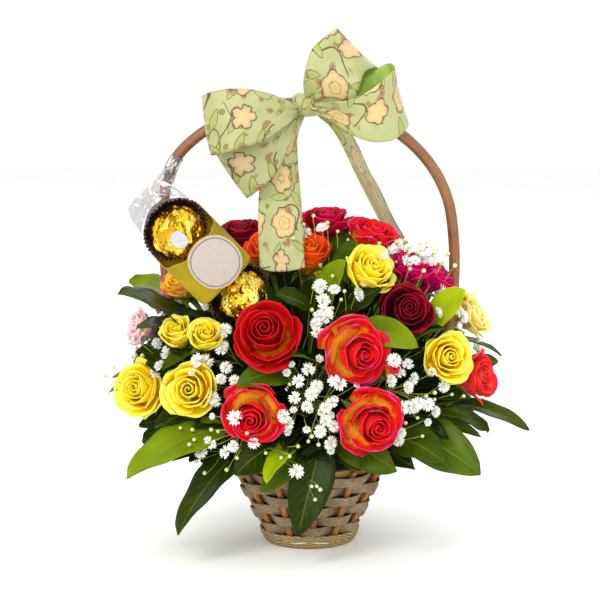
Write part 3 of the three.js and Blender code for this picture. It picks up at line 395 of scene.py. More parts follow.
# Each whorl is its count of petals, then pairs that run from its first petal to its last:
# reach, height before the lip, half-angle, how far the lip rolls, and the lip's length.
whorls = {
    "open": [(9, (0.05, 0.38), (0.34, 0.32), (2.0, 1.6), (-0.3, -0.1), (0.16, 0.2)),
             (5, (0.46, 0.62), (0.28, 0.18), (1.3, 1.2), (0.0, 0.35), (0.22, 0.26)),
             (6, (0.7, 0.86), (0.12, -0.02), (1.1, 1.0), (0.45, 0.8), (0.26, 0.26))],
    "spiral": [(9, (0.04, 0.38), (0.42, 0.38), (2.1, 1.7), (-0.35, -0.15), (0.16, 0.2)),
               (4, (0.43, 0.58), (0.34, 0.24), (1.45, 1.35), (-0.1, 0.25), (0.22, 0.26)),
               (6, (0.76, 0.92), (0.12, -0.06), (1.2, 1.05), (0.3, 0.7), (0.26, 0.24))],
    "loose": [(7, (0.06, 0.34), (0.34, 0.3), (2.0, 1.6), (-0.3, -0.1), (0.18, 0.22)),
              (5, (0.42, 0.6), (0.28, 0.16), (1.35, 1.25), (0.0, 0.35), (0.26, 0.3)),
              (6, (0.7, 0.9), (0.1, -0.08), (1.15, 1.0), (0.4, 0.8), (0.3, 0.32))],
    "full": [(10, (0.05, 0.32), (0.32, 0.3), (1.9, 1.3), (-0.3, 0.0), (0.16, 0.2)),
             (7, (0.36, 0.58), (0.3, 0.18), (1.1, 1.0), (0.1, 0.4), (0.2, 0.26)),
             (7, (0.68, 0.86), (0.14, -0.1), (1.0, 0.85), (0.4, 0.9), (0.28, 0.3))],
    "cup": [(8, (0.06, 0.4), (0.34, 0.32), (2.0, 1.4), (-0.2, 0.0), (0.18, 0.22)),
            (6, (0.48, 0.64), (0.3, 0.2), (1.2, 1.0), (0.2, 0.55), (0.26, 0.3)),
            (5, (0.7, 0.78), (0.2, 0.06), (0.95, 0.9), (0.6, 0.95), (0.3, 0.34))],
    "bud": [(5, (0.08, 0.3), (0.34, 0.34), (2.0, 1.5), (-0.3, -0.1), (0.18, 0.2)),
            (5, (0.42, 0.66), (0.28, 0.2), (1.3, 1.1), (0.0, 0.4), (0.24, 0.28))],
}

blooms = [
    {"name": "rose_red_front", "look": "red", "at": (-25, -75, 141), "radius": 21.5,
     "facing": (-0.1, -0.86, 0.5), "form": "spiral", "lean": (-0.05, 0.06)},
    {"name": "rose_flame_upper", "look": "flame", "at": (25, -79, 132), "radius": 21,
     "facing": (0.42, -0.9, 0.05), "form": "spiral", "lean": (0.16, -0.06)},
    {"name": "rose_flame_right", "look": "flame", "at": (35, -85, 92), "radius": 20.5,
     "facing": (0.3, -0.95, -0.08), "form": "spiral", "lean": (0.12, -0.1)},
    {"name": "rose_flame_left", "look": "flame", "at": (-33, -85, 97), "radius": 19,
     "facing": (-0.12, -0.98, -0.12), "form": "spiral", "lean": (-0.04, -0.12)},
    {"name": "rose_yellow_far_left", "look": "yellow", "at": (-103, -24, 100), "radius": 18,
     "facing": (-0.55, -0.8, 0.22), "form": "loose"},
    {"name": "rose_yellow_left", "look": "yellow", "at": (-70, -65, 107), "radius": 18,
     "facing": (-0.25, -0.94, 0.2), "form": "loose"},
    {"name": "buds_yellow", "look": "yellow", "at": (-79, -48, 137), "radius": 13.5,
     "facing": (-0.25, -0.6, 0.75), "tall": 1.2, "open": 0.7, "form": "cup",
     "twin": {"at": (-62, -59, 137), "radius": 13, "facing": (0.05, -0.72, 0.68), "tall": 1.25, "open": 0.8}},
    {"name": "rose_yellow_right", "look": "yellow", "at": (82, -49, 124), "radius": 16.5,
     "facing": (0.35, -0.9, 0.2), "form": "loose"},
    {"name": "rose_burgundy_right", "look": "wine", "at": (57, -52, 152), "radius": 18.6,
     "facing": (0.22, -0.88, 0.36), "form": "spiral", "open": 0.75},
    {"name": "roses_magenta", "look": "magenta", "at": (61, -22, 173), "radius": 15.5,
     "facing": (0.2, -0.3, 0.9), "form": "cup",
     "twin": {"at": (75, -9, 166), "radius": 15.5, "facing": (0.55, -0.2, 0.8)}},
    {"name": "rose_crimson_crown", "look": "crimson", "at": (10, 10, 198), "radius": 17.5,
     "facing": (0, -0.25, 0.95), "form": "full"},
    {"name": "rose_red_crown", "look": "flame", "at": (37, -8, 190), "radius": 17, "slot": "petals_red",
     "facing": (0.3, -0.3, 0.9), "tall": 1.15, "form": "cup"},
    {"name": "rose_yellow_crown", "look": "yellow", "at": (34, -44, 174), "radius": 17.5,
     "facing": (0.45, -0.6, 0.66), "tall": 1.15, "form": "cup"},
    {"name": "rose_orange_crown", "look": "orange", "at": (-2, -18, 181), "radius": 16,
     "facing": (0.1, -0.5, 0.86), "tall": 1.15, "form": "cup",
     "twin": {"at": (-26, -16, 183), "radius": 15, "facing": (-0.2, -0.45, 0.87), "tall": 1.2}},
    {"name": "rose_burgundy_crown", "look": "wine", "at": (-42, 6, 190), "radius": 15.5,
     "facing": (-0.15, -0.3, 0.93), "form": "cup"},
    {"name": "rose_yellow_pink", "look": "blush", "at": (-78, -10, 163), "radius": 15,
     "facing": (-0.4, -0.5, 0.75), "form": "cup"},
    {"name": "rose_pink", "look": "pink", "at": (-104, 2, 133), "radius": 14,
     "facing": (-0.85, -0.4, 0.3), "form": "cup"},
    {"name": "rose_pale_yellow", "look": "cream", "at": (99, 10, 140), "radius": 16,
     "facing": (0.8, -0.3, 0.45), "form": "cup"},
    {"name": "rose_red_right", "look": "apricot", "at": (100, -22, 107), "radius": 18,
     "facing": (0.85, -0.5, 0.2), "form": "cup"},
    {"name": "bud_red", "look": "flame", "at": (47, -76, 121), "radius": 7, "slot": "petals_red",
     "facing": (0.4, -0.7, 0.6), "tall": 1.4, "form": "bud"},
    {"name": "roses_red_back", "look": "red", "at": (-36, 73, 122), "radius": 20,
     "facing": (-0.3, 0.85, 0.4),
     "twin": {"at": (-20, 80, 97), "radius": 18, "facing": (-0.15, 0.97, 0.1)}},
    {"name": "roses_yellow_back", "look": "yellow", "at": (20, 71, 138), "radius": 20,
     "facing": (0.15, 0.85, 0.5), "form": "full",
     "twin": {"at": (-2, 63, 157), "radius": 17, "facing": (-0.05, 0.7, 0.7)}},
    {"name": "roses_magenta_back", "look": "magenta", "at": (66, 59, 113), "radius": 19,
     "facing": (0.6, 0.75, 0.3),
     "twin": {"at": (46, 71, 95), "radius": 17, "facing": (0.4, 0.9, 0.1)}},
    {"name": "roses_flame_back", "look": "flame", "at": (-76, 43, 122), "radius": 19,
     "facing": (-0.75, 0.6, 0.3),
     "twin": {"at": (-67, 53, 97), "radius": 17, "facing": (-0.7, 0.7, 0.05)}},
]


def headsOf(bloom):
    return [bloom] + ([bloom["twin"]] if "twin" in bloom else [])


def headMatrix(head):
    axis = Vector(head["facing"]).normalized()
    side = Vector((0, 0, 1)).cross(axis).normalized()
    up = axis.cross(side)
    turn = Matrix((side, up, axis)).transposed().to_4x4()
    return Matrix.Translation(Vector(head["at"]) * mm) @ turn @ Matrix.Scale(head["radius"] * mm, 4)


def petalPoint(u, v, petal):
    narrow = 1 - 0.24 * (max(0, v - 0.5) / 0.5) ** 2
    angle = petal["turn"] + u * petal["half"] * (0.42 + 0.58 * min(1, v / 0.45)) * narrow
    rise = min(1, v / roseShape["lipFrom"])
    # inner petals stand up like a cup, and outer ones open like a bowl
    reach = roseShape["foot"] + (petal["reach"] - roseShape["foot"]) * math.sin(rise * math.pi / 2) ** (
        0.85 + petal["bowl"])
    height = roseShape["footDrop"] + (petal["height"] - roseShape["footDrop"]) * rise ** (1.1 - 0.4 * petal["bowl"])
    height -= 0.11 * abs(u) ** 2.4 * v ** 2 * petal["reach"]
    # past three quarters of its length the petal rolls over, most at its shoulders
    rolled = max(0, v - roseShape["lipFrom"]) / roseShape["lipRun"] * (1 - 0.4 * abs(u) ** 3.5)
    bend = 0.1 + petal["roll"] * (0.6 + 0.5 * u * u) * rolled
    reach += petal["lip"] * rolled * math.sin(bend) + 0.05 * u * (0.3 + 0.7 * v)
    height += petal["lip"] * rolled * math.cos(bend)
    reach += 0.05 * max(0, petal["roll"]) * u * u * v
    loose = v * (0.2 + 1.2 * petal["reach"] ** 1.6)
    reach += 0.09 * noise.noise(Vector((u * 1.3, v * 1.2, petal["seed"]))) * loose
    height += 0.13 * noise.noise(Vector((u * 1.7, petal["seed"], v * 0.9))) * loose * v
    reach += petal["ruffle"] * noise.noise(Vector((u * 4.5, v * 3, petal["seed"] + 7))) * v * v
    x, y = petal["shift"]
    return Vector((reach * math.cos(angle) + x * v, reach * math.sin(angle) + y * v, height * petal["tall"]))


def makeHead(bloom, head, petalBlank, rng):
    openness = head.get("open", 1.0)
    matrix = headMatrix(head)
    parts = []
    turn = rng.uniform(0, 6.3)
    layers = whorls[bloom.get("form", "open")]
    for layer, (count, *pairs) in enumerate(layers):
        for k in range(count):
            t = k / (count - 1)
            reach, height, half, roll, lip = [a + (b - a) * t for a, b in pairs]
            turn += roseShape["golden"]
            outer = layer / (len(layers) - 1)
            petal = {
                "turn": turn + rng.uniform(-0.12, 0.12), "reach": (reach + rng.uniform(-0.03, 0.03) * outer) * (
                    0.6 + 0.4 * openness),
                "height": height + rng.uniform(-0.04, 0.04), "half": half + rng.uniform(-0.06, 0.1),
                "roll": roll * openness * rng.uniform(0.75, 1.2), "lip": lip * rng.uniform(0.85, 1.1),
                "seed": rng.uniform(0, 99), "ruffle": 0.035 + 0.04 * outer * (bloom.get("form") == "full"),
                "tall": head.get("tall", 1.0), "bowl": 1.1 * outer ** 2,
                "shift": [(0.9 - outer) * a for a in head.get("lean", (0, 0))]}
            part = copyOf(petalBlank, "petal")
            start, end = ((0.1 if bloom["look"] == "yellow" else 0.62, 0.86), (0.2, 0.94), (0.0, 1.0))[
                min(2, 2 * layer // (len(layers) - 1))]
            rims = []
            for vertex in part.data.vertices:
                u, v = vertex.co.x, (vertex.co.y + 1) / 2
                rims.append(start + (end - start) * (v * 0.93 + 0.07 * abs(u) ** 3))
                vertex.co = matrix @ petalPoint(u, v, petal)
            setShades(part, rims, [0.3 + 0.35 * outer + rng.uniform(-0.2, 0.2)] * len(rims))
            parts.append(part)
    return parts


def makeRoses():
    rng = random.Random(11)
    petalBlank = addGrid("petalBlank", *roseShape["petalGrid"])
    for bloom in blooms:
        parts = []
        for head in headsOf(bloom):
            parts += makeHead(bloom, head, petalBlank, rng)
        rose = joinPieces(bloom["name"] + "_petals", parts)
        dress(rose, petalMaterials[bloom["look"]])
        applyModifier(rose, "SOLIDIFY", thickness=roseShape["thickness"], offset=-1, material_offset=1)
        finishPiece(rose, [bloom["name"]])
    bpy.data.objects.remove(petalBlank)
    print("roses:", len(blooms), "pieces")


makeRoses()

# leaves, stems and sepals
leafShape = {"thickness": 0.0004, "fold": 0.26, "mostFold": 2.4, "kneeLift": 4, "fuller": 1.12,
             "fillers": 46, "fillerWidth": (20, 28), "fillerTilt": (-25, 25), "fillerShade": (0, 0.16),
             "rimLeaves": 7, "rimWidth": (20, 26), "rimTilt": (-15, 15), "rimShade": (0, 0.22),
             "stem": 1.9, "stalk": 0.7, "innerStalk": 0.6, "sepals": 5}
domeCentre = Vector((0, 0, 82))
domeReach = Vector((112, 94, 121))
hubHeight = 74

# the side each spray grows to, as an angle round the basket; the crown grows all round
sprayAngle = {"leaves_left": math.pi, "leaves_front": -math.pi / 2, "leaves_right": 0, "leaves_back": math.pi / 2}
# leaves: base, tip, width, tilt in degrees, and shade from dark (0) to light (1); inner ones have no tilt
sprays = [
    {"name": "leaves_left", "hub": (-15, -9), "carries": [
        "rose_yellow_far_left", "rose_yellow_left", "buds_yellow", "rose_yellow_pink", "rose_pink"],
     "leaves": [
        [(-50, -56, 84), (-107, -84, 60), 26, 10, 0.62], [(-38, -50, 72), (-78, -74, 24), 24, 20, 0.2],
        [(-66, -22, 133), (-113, -58, 166), 28, -25, 0.18], [(-76, 10, 147), (-113, 14, 163), 25, 0, 0.58],
        [(-84, 18, 92), (-123, 4, 105), 12, 0, 0.5], [(-60, -34, 128), (-88, -66, 121), 13, 0, 0.35],
        [(-70, 24, 100), (-112, 34, 92), 22, 0, 0.3], [(-58, 4, 84), (-104, -2, 64), 24, 0, 0.22]],
     "inner": [[(-56, -26, 106), (-99, -40, 122), 27, 0.14], [(-54, -34, 116), (-84, -52, 130), 24, 0.14],
               [(-52, -32, 92), (-92, -58, 84), 26, 0.12], [(-58, -12, 110), (-100, -22, 130), 26, 0.2],
               [(-62, -18, 132), (-104, -40, 142), 32, 0.16], [(-74, 4, 142), (-108, 4, 154), 26, 0.56],
               [(-66, -6, 100), (-108, -8, 122), 26, 0.14], [(-92, -14, 104), (-124, -14, 97), 13, 0.6]]},
    {"name": "leaves_front", "hub": (2, -19), "carries": [
        "rose_red_front", "rose_flame_upper", "rose_flame_right", "rose_flame_left", "bud_red"],
     "leaves": [
        [(-14, -60, 78), (-43, -90, 62), 22, -10, 0.16], [(-9, -70, 77), (-25, -98, 60), 13, 30, 0.78],
        [(-4, -62, 71), (-29, -90, 53), 15, -20, 0.38], [(5, -64, 75), (-6, -76, 24), 23, 0, 0.17],
        [(15, -62, 74), (51, -90, 67), 20, 10, 0.36], [(4, -60, 120), (-9, -92, 133), 15, 10, 0.24],
        [(-8, -66, 118), (-42, -96, 116), 15, -15, 0.4]]},
    {"name": "leaves_right", "hub": (19, -6), "carries": [
        "rose_yellow_right", "rose_burgundy_right", "rose_pale_yellow", "rose_red_right", "roses_magenta"],
     "leaves": [
        [(45, -54, 78), (78, -84, 68), 22, 10, 0.3], [(50, -42, 82), (102, -66, 60), 28, 15, 0.42],
        [(62, -26, 80), (104, -36, 74), 11, 0, 0.3], [(58, -36, 92), (98, -50, 90), 10, 10, 0.22],
        [(82, -12, 88), (134, -34, 80), 13, 20, 0.3], [(94, 14, 104), (119, 18, 112), 12, 0, 0.4],
        [(92, 20, 124), (122, 26, 114), 10, 0, 0.4], [(70, -38, 138), (92, -48, 167), 16, -30, 0.85],
        [(74, 16, 82), (114, 24, 66), 22, 0, 0.25]]},
    {"name": "leaves_crown", "hub": (-2, -2), "carries": [
        "rose_crimson_crown", "rose_red_crown", "rose_yellow_crown", "rose_orange_crown",
        "rose_burgundy_crown"],
     "leaves": [
        [(14, -46, 146), (42, -54, 168), 17, 0, 0.1], [(2, -56, 152), (-20, -66, 166), 14, 0, 0.2],
        [(26, -55, 140.5), (63, -80, 136.5), 16.5, 36, 0.6], [(12, 0, 164), (24, 6, 202), 12, 0, 0.3],
        [(-30, 30, 160), (-52, 42, 186), 18, 0, 0.3], [(14, 34, 162), (30, 52, 188), 18, 0, 0.2]],
     "inner": [[(2, -40, 150), (22, -50, 184), 19, 0.62], [(14, -26, 158), (28, -30, 194), 15, 0.34],
               [(-14, -40, 140), (-36, -54, 168), 22, 0.16], [(28, -30, 146), (48, -40, 176), 22, 0.16],
               [(0, -36, 140), (6, -50, 172), 24, 0.12], [(-20, -26, 146), (-50, -34, 178), 22, 0.2]]},
    {"name": "leaves_back", "hub": (2, 17), "carries": [
        "roses_red_back", "roses_yellow_back", "roses_magenta_back", "roses_flame_back"],
     "leaves": [
        [(-34, 56, 76), (-70, 84, 52), 24, 0, 0.25], [(0, 60, 80), (-8, 92, 48), 24, 0, 0.15],
        [(32, 56, 76), (66, 82, 54), 24, 0, 0.3], [(52, 30, 76), (96, 56, 64), 22, 0, 0.2],
        [(-52, 30, 76), (-98, 58, 66), 22, 0, 0.2], [(0, 62, 104), (-6, 96, 96), 20, 0, 0.4],
        [(44, 52, 142), (66, 74, 166), 18, 0, 0.3], [(-54, 50, 142), (-78, 62, 168), 18, 0, 0.25],
        [(-8, 58, 142), (-12, 78, 172), 18, 0, 0.6]]},
]


def leafOutline(t):
    return math.sin(math.pi * min(1, t) ** 0.88) ** 0.62 + 0.02


def shapeLeaf(part, base, tip, width, tilt, shade, seed, droop=1.0):
    base, tip = Vector(base), Vector(tip)
    length = (tip - base).length
    middle = (base + tip) / 2 + Vector((0, 0, 0.1 * length))
    outward = (middle - domeCentre).normalized() + Vector((0, -0.25, 0.35))
    spine = (tip - base).normalized()
    across = Matrix.Rotation(math.radians(tilt), 3, spine) @ spine.cross(outward).normalized()
    normal = across.cross(spine).normalized()
    if normal.dot(outward) < 0:
        normal = -normal
    fold = min(width / 2 * leafShape["fold"], leafShape["mostFold"])
    shades = []
    for vertex in part.data.vertices:
        u, t = vertex.co.x, (vertex.co.y + 1) / 2
        centre = base * (1 - t) ** 2 + middle * 2 * t * (1 - t) + tip * t ** 2
        wide = width / 2 * leafOutline(t)
        lift = fold * abs(u) ** 1.3 * min(1, wide / 4)
        lift += (0.05 * math.sin(5.2 * t + seed + 1.7 * u) + 0.022 * math.sin(19 * t + 3 * seed)) * width * u * u
        # the blade swells between its side veins
        lift += 0.7 * math.cos(2 * math.pi * (8 * t - 2.1 * abs(u))) * abs(u) * (1 - abs(u)) * min(1, wide / 5)
        sink = -0.05 * length * droop * t ** 3
        side = 0.03 * length * math.sin(3 * t + seed)
        vertex.co = (centre + across * (u * wide + side) + normal * lift + Vector((0, 0, sink))) * mm
        shades.append(shade + 0.16 * (t - 0.5) * (1 if shade > 0.4 else 0.4))
    setShades(part, [1.0] * len(shades), shades)


def stalkPath(hub, base, radius):
    knee = (hub + base) / 2 + Vector((0, 0, leafShape["kneeLift"]))
    return [(hub * mm, radius * mm), (knee * mm, radius * mm), (base * mm, radius * 0.8 * mm)]


def shapeSepal(part, head, turn):
    matrix = headMatrix(head)
    tall = head.get("tall", 1.0)
    for vertex in part.data.vertices:
        u, t = vertex.co.x, (vertex.co.y + 1) / 2
        wide = 0.2 * math.sin(math.pi * (0.12 + 0.88 * t) ** 0.8) ** 0.9 * (1 - 0.5 * t)
        reach = 0.1 + 0.72 * t ** 0.8
        height = -0.82 + 0.42 * math.sin(t * 2.2) - 0.34 * t ** 2
        angle = turn + u * wide / max(reach, 0.25)
        vertex.co = matrix @ Vector((reach * math.cos(angle), reach * math.sin(angle), height * tall))
    count = len(part.data.vertices)
    setShades(part, [1.0] * count, [0.4] * count)


def makeSprays():
    rng = random.Random(23)
    leafBlank = addGrid("leafBlank", 9, 19)
    fillerBlank = addGrid("fillerBlank", 5, 9)
    sepalBlank = addGrid("sepalBlank", 3, 6)
    named = {bloom["name"]: bloom for bloom in blooms}
    heads = [(Vector(head["at"]), head["radius"]) for bloom in blooms for head in headsOf(bloom)]
    for spray in sprays:
        hub = Vector((*spray["hub"], hubHeight))
        blades, paths = [], []
        foot = Vector((spray["hub"][0] * 0.72, spray["hub"][1] * 0.72, hubHeight - 32))
        paths.append([(place * mm, leafShape["stem"] * mm) for place in (foot, (foot + hub) / 2, hub)])

        def growLeaf(blank, base, tip, width, tilt, shade, droop=1.0, stalk="innerStalk"):
            part = copyOf(blank, "leaf")
            shapeLeaf(part, base, tip, width, tilt, shade, rng.uniform(0, 6), droop)
            blades.append(part)
            paths.append(stalkPath(hub, Vector(base), leafShape[stalk]))
        for base, tip, width, tilt, shade in spray["leaves"]:
            growLeaf(leafBlank, base, tip, width * leafShape["fuller"], tilt, shade, stalk="stalk")
        # inner leaves that close the dome behind the roses
        side = sprayAngle.get(spray["name"])
        placed = 0
        while placed < leafShape["fillers"]:
            angle = rng.uniform(0, 2 * math.pi) if side is None else side + rng.uniform(-1.0, 1.0)
            level = rng.uniform(0.4, 0.95) if side is None else rng.uniform(-0.15, 0.75)
            depth = rng.uniform(0.5, 0.64)
            flat = math.sqrt(max(0, 1 - level ** 2))
            out = Vector((math.cos(angle) * flat * domeReach.x, math.sin(angle) * flat * domeReach.y,
                          level * domeReach.z))
            base = domeCentre + out * depth * 0.6
            tip = domeCentre + out * (depth + 0.24) + Vector((rng.uniform(-22, 22), rng.uniform(-12, 12),
                                                             rng.uniform(-16, 16)))
            # no blade may come out through a rose
            if any((tip - at).length < 1.15 * radius or (tip.lerp(base, 0.4) - at).length < 0.8 * radius
                   for at, radius in heads):
                continue
            placed += 1
            growLeaf(fillerBlank, base, tip, rng.uniform(*leafShape["fillerWidth"]),
                     rng.uniform(*leafShape["fillerTilt"]), rng.uniform(*leafShape["fillerShade"]), 0.4)
        for base, tip, width, shade in spray.get("inner", []):
            growLeaf(leafBlank, base, tip, width, 0, shade)
        # low leaves that lie over the rim
        for k in range(0 if side is None else leafShape["rimLeaves"]):
            angle = side + (k - leafShape["rimLeaves"] // 2) * 0.24 + rng.uniform(-0.08, 0.08)
            out = Vector((math.cos(angle), math.sin(angle), 0))
            base = out * 30 + Vector((0, 0, rng.uniform(68, 74)))
            tip = out * rng.uniform(62, 84) + Vector((rng.uniform(-8, 8), 0, rng.uniform(56, 66)))
            growLeaf(fillerBlank, base, tip, rng.uniform(*leafShape["rimWidth"]),
                     rng.uniform(*leafShape["rimTilt"]), rng.uniform(*leafShape["rimShade"]), 0.6)
        for name in spray["carries"]:
            for head in headsOf(named[name]):
                axis = Vector(head["facing"]).normalized()
                reach = head["radius"] * head.get("tall", 1.0)
                end = Vector(head["at"]) - axis * 0.74 * reach
                neck = end - axis * 0.5 * head["radius"]
                knee = (hub + neck) / 2 + Vector((0, 0, leafShape["kneeLift"]))
                paths.append([(hub * mm, 0.95 * mm), (knee * mm, 0.95 * mm), (neck * mm, 1.1 * mm),
                              ((end - axis * 1.5) * mm, 2.4 * mm), (end * mm, 0.3 * head["radius"] * mm)])
                for k in range(leafShape["sepals"]):
                    part = copyOf(sepalBlank, "sepal")
                    shapeSepal(part, head, k * 2 * math.pi / leafShape["sepals"] + rng.uniform(-0.2, 0.2))
                    blades.append(part)
        leaves = joinPieces(spray["name"] + "_blades", blades)
        dress(leaves, [leafFace, leafBack])
        applyModifier(leaves, "SOLIDIFY", thickness=leafShape["thickness"], offset=-1, material_offset=1)
        finishPiece(leaves, [spray["name"]])
        stems = stemsFrom(spray["name"] + "_stems", paths)
        dress(stems, [stemGreen])
        finishPiece(stems, [])
    for blank in (leafBlank, fillerBlank, sepalBlank):
        bpy.data.objects.remove(blank)
    print("leaves and stems:", len(sprays), "sprays")


makeSprays()

# basket
basket = {"stakes": 12, "first": math.radians(4), "radius": 23.5, "flare": 0.48, "stakeRadius": 2.0,
          "stakeTop": 52, "base": 26.0, "board": 5, "pitch": 6.7, "lowest": 11.6, "width": 6.3,
          "thick": 1.2, "wave": 3.1, "rows": 6, "sway": 0.25}


def wallRadius(z):
    return basket["radius"] + basket["flare"] * z


def onWall(angle, radius, z):
    return Vector((radius * math.sin(angle), -radius * math.cos(angle), z)) * mm


def woodMaterial(name, stops, scale, roughness, depth):
    # split wood: fibres run along the strip, drawn 0.7 to 1.4 mm apart so that they show
    material, tree, shader = startMaterial(name, stops[0][1], {"Roughness": roughness})
    uv = addNode(tree, "UVMap")
    fibres = addNode(tree, "Mapping", {"Scale": scale}, {"Vector": uv})
    grain = addNode(tree, "TexNoise", {"Scale": 1.0, "Detail": 5.0, "Roughness": 0.65}, {"Vector": fibres})
    places = addNode(tree, "TexCoord").outputs["Object"]
    patches = addNode(tree, "TexNoise", {"Scale": 55.0, "Detail": 2.0}, {"Vector": places})
    mixed = addNode(tree, "Math", {"operation": "MULTIPLY_ADD", 1: 0.45}, {0: patches, 2: grain})
    centred = addNode(tree, "Math", {"operation": "SUBTRACT", 1: 0.22}, {0: mixed})
    colour = addNode(tree, "ValToRGB", {"stops": stops}, {"Fac": centred})
    linkTo(tree, colour, shader.inputs["Base Color"])
    bumpFrom(tree, shader, grain, depth, 0.8)
    return material


chipWood = woodMaterial("weathered chip wood", [(0.28, "#463827"), (0.5, "#7C684C"), (0.72, "#A69070")],
                        (420, 1500, 1), 0.8, 0.0003)
reedWood = woodMaterial("stained round reed", [(0.3, "#6E4018"), (0.55, "#9C6428"), (0.75, "#B67E40")],
                        (200, 700, 1), 0.45, 0.0002)
caneWood = woodMaterial("bent cane", [(0.3, "#513117"), (0.5, "#7C4E26"), (0.7, "#8F6031")],
                        (60, 1500, 1), 0.42, 0.00015)
hoopWood = woodMaterial("tan rim hoop", [(0.3, "#8A5E2C"), (0.5, "#B07E42"), (0.7, "#C49858")],
                        (40, 900, 1), 0.6, 0.0002)


def strawMaterial():
    # flat plait of split straw: chevron strands 6 mm apart, pale where they rise and dark brown between, painted shade
    # in the grooves
    material, tree, shader = startMaterial("flat straw braid", "#8E7844", {"Roughness": 0.75})
    uv = addNode(tree, "UVMap")
    at = addNode(tree, "SeparateXYZ", {}, {"Vector": uv})
    level = addNode(tree, "Math", {"operation": "SUBTRACT", 1: 0.0036}, {0: at.outputs["Y"]})
    level = addNode(tree, "Math", {"operation": "ABSOLUTE"}, {0: level})
    slant = addNode(tree, "Math", {"operation": "MULTIPLY", 1: 700.0}, {0: level})
    uneven = addNode(tree, "TexNoise", {"Scale": 160.0, "Detail": 1.0}, {"Vector": uv})
    slant = addNode(tree, "Math", {"operation": "MULTIPLY_ADD", 1: 1.6}, {0: uneven, 2: slant})
    phase = addNode(tree, "Math", {"operation": "MULTIPLY_ADD", 1: 170.0}, {0: at.outputs["X"], 2: slant})
    strand = addNode(tree, "Math", {"operation": "PINGPONG", 1: 0.5}, {0: phase})
    fibres = addNode(tree, "Mapping", {"Scale": (500, 2200, 1)}, {"Vector": uv})
    grain = addNode(tree, "TexNoise", {"Scale": 1.0, "Detail": 4.0}, {"Vector": fibres})
    height = addNode(tree, "Math", {"operation": "MULTIPLY_ADD", 1: 0.9}, {0: strand, 2: grain})
    # the colour follows the relief: darker where the plait sinks, as painted shade
    colour = addNode(tree, "ValToRGB", {"stops": [(0.42, "#3A2A14"), (0.6, "#7E6636"), (0.84, "#B49A60"),
                                                  (1, "#CDB882")]}, {"Fac": height})
    linkTo(tree, colour, shader.inputs["Base Color"])
    bumpFrom(tree, shader, height, 0.0009, 0.9)
    return material


strawBraid = strawMaterial()


def ringLoft(name, sections, corners, pointAt):
    # a grid wrapped round: `sections` along and `corners` round the section; UV in metres
    loft = addGrid(name, corners, sections)
    places = []
    for vertex in loft.data.vertices:
        s = (vertex.co.y + 1) / 2
        c = (vertex.co.x + 1) / 2
        place, uv = pointAt(s, c)
        places.append(uv)
        vertex.co = place
    setUv(loft, places)
    makeActive(loft)
    bpy.ops.object.mode_set(mode="EDIT")
    bpy.ops.mesh.select_all(action="SELECT")
    bpy.ops.mesh.remove_doubles(threshold=1e-6)
    bpy.ops.mesh.normals_make_consistent(inside=False)
    bpy.ops.object.mode_set(mode="OBJECT")
    return loft


def makeWeaver(index):
    middle = basket["lowest"] + index * basket["pitch"]
    outline = [(-0.5, -0.42), (-0.3, -0.5), (0.3, -0.5), (0.5, -0.42), (0.5, 0), (0.5, 0.42),
               (0.3, 0.5), (-0.3, 0.5), (-0.5, 0.42), (-0.5, 0)]

    def pointAt(s, c):
        side, level = outline[round(c * 10) % 10]
        angle = basket["first"] + 2 * math.pi * s
        swing = basket["wave"] * math.cos(6 * 2 * math.pi * s) * (-1 if index % 2 else 1)
        sway = basket["sway"] * noise.noise(Vector((math.cos(angle) * 2, math.sin(angle) * 2, index)))
        z = middle + level * basket["width"] + sway
        radius = wallRadius(z) + swing + side * basket["thick"]
        return onWall(angle, radius, z), (s * 0.2 + index * 0.37, (level + 0.5) * basket["width"] * mm + side * 0.001)
    weaver = ringLoft(f"chip_row_{index + 1}", 168, 10, pointAt)
    dress(weaver, [chipWood])
    finishPiece(weaver, [f"weaver_{index + 1}"])


def makeBasket():
    parts = []
    for k in range(basket["stakes"]):
        angle = basket["first"] + 2 * math.pi * k / basket["stakes"]

        def pointAt(s, c):
            z = s * basket["stakeTop"]
            centre = onWall(angle, wallRadius(z), z)
            radius = basket["stakeRadius"] * (1 if 0.02 < s < 0.98 else 0.8)
            turn = 2 * math.pi * c
            out = onWall(angle, 1, 0)
            side = Vector((-out.y, out.x, 0))
            return centre + (out * math.cos(turn) + side * math.sin(turn)) * radius, (s * 0.06, c * 0.012 + k)
        stake = ringLoft("stake", 30, 10, pointAt)
        makeActive(stake)
        bpy.ops.object.mode_set(mode="EDIT")
        bpy.ops.mesh.select_all(action="DESELECT")
        bpy.ops.mesh.select_non_manifold()
        bpy.ops.mesh.edge_face_add()
        bpy.ops.object.mode_set(mode="OBJECT")
        parts.append(stake)
    deselectAll()
    bpy.ops.mesh.primitive_cylinder_add(vertices=64, radius=basket["base"] * mm, depth=basket["board"] * mm,
                                        location=(0, 0, basket["board"] / 2 * mm))
    board = bpy.context.object
    bpy.ops.object.transform_apply(location=True, rotation=True, scale=True)
    applyModifier(board, "BEVEL", width=0.0006, segments=2)
    parts.append(board)
    stakes = joinPieces("round_stakes", parts)
    dress(stakes, [reedWood])
    finishPiece(stakes, ["basket_frame"])
    for index in range(basket["rows"]):
        makeWeaver(index)
    print("basket woven")


makeBasket()

# the staples are listed by angle in degrees and slope
footBand = {"low": 0.6, "height": 7.9, "thick": 1.3, "gap": 0.4, "staples": [(-13, 0.05), (13, -0.1)]}


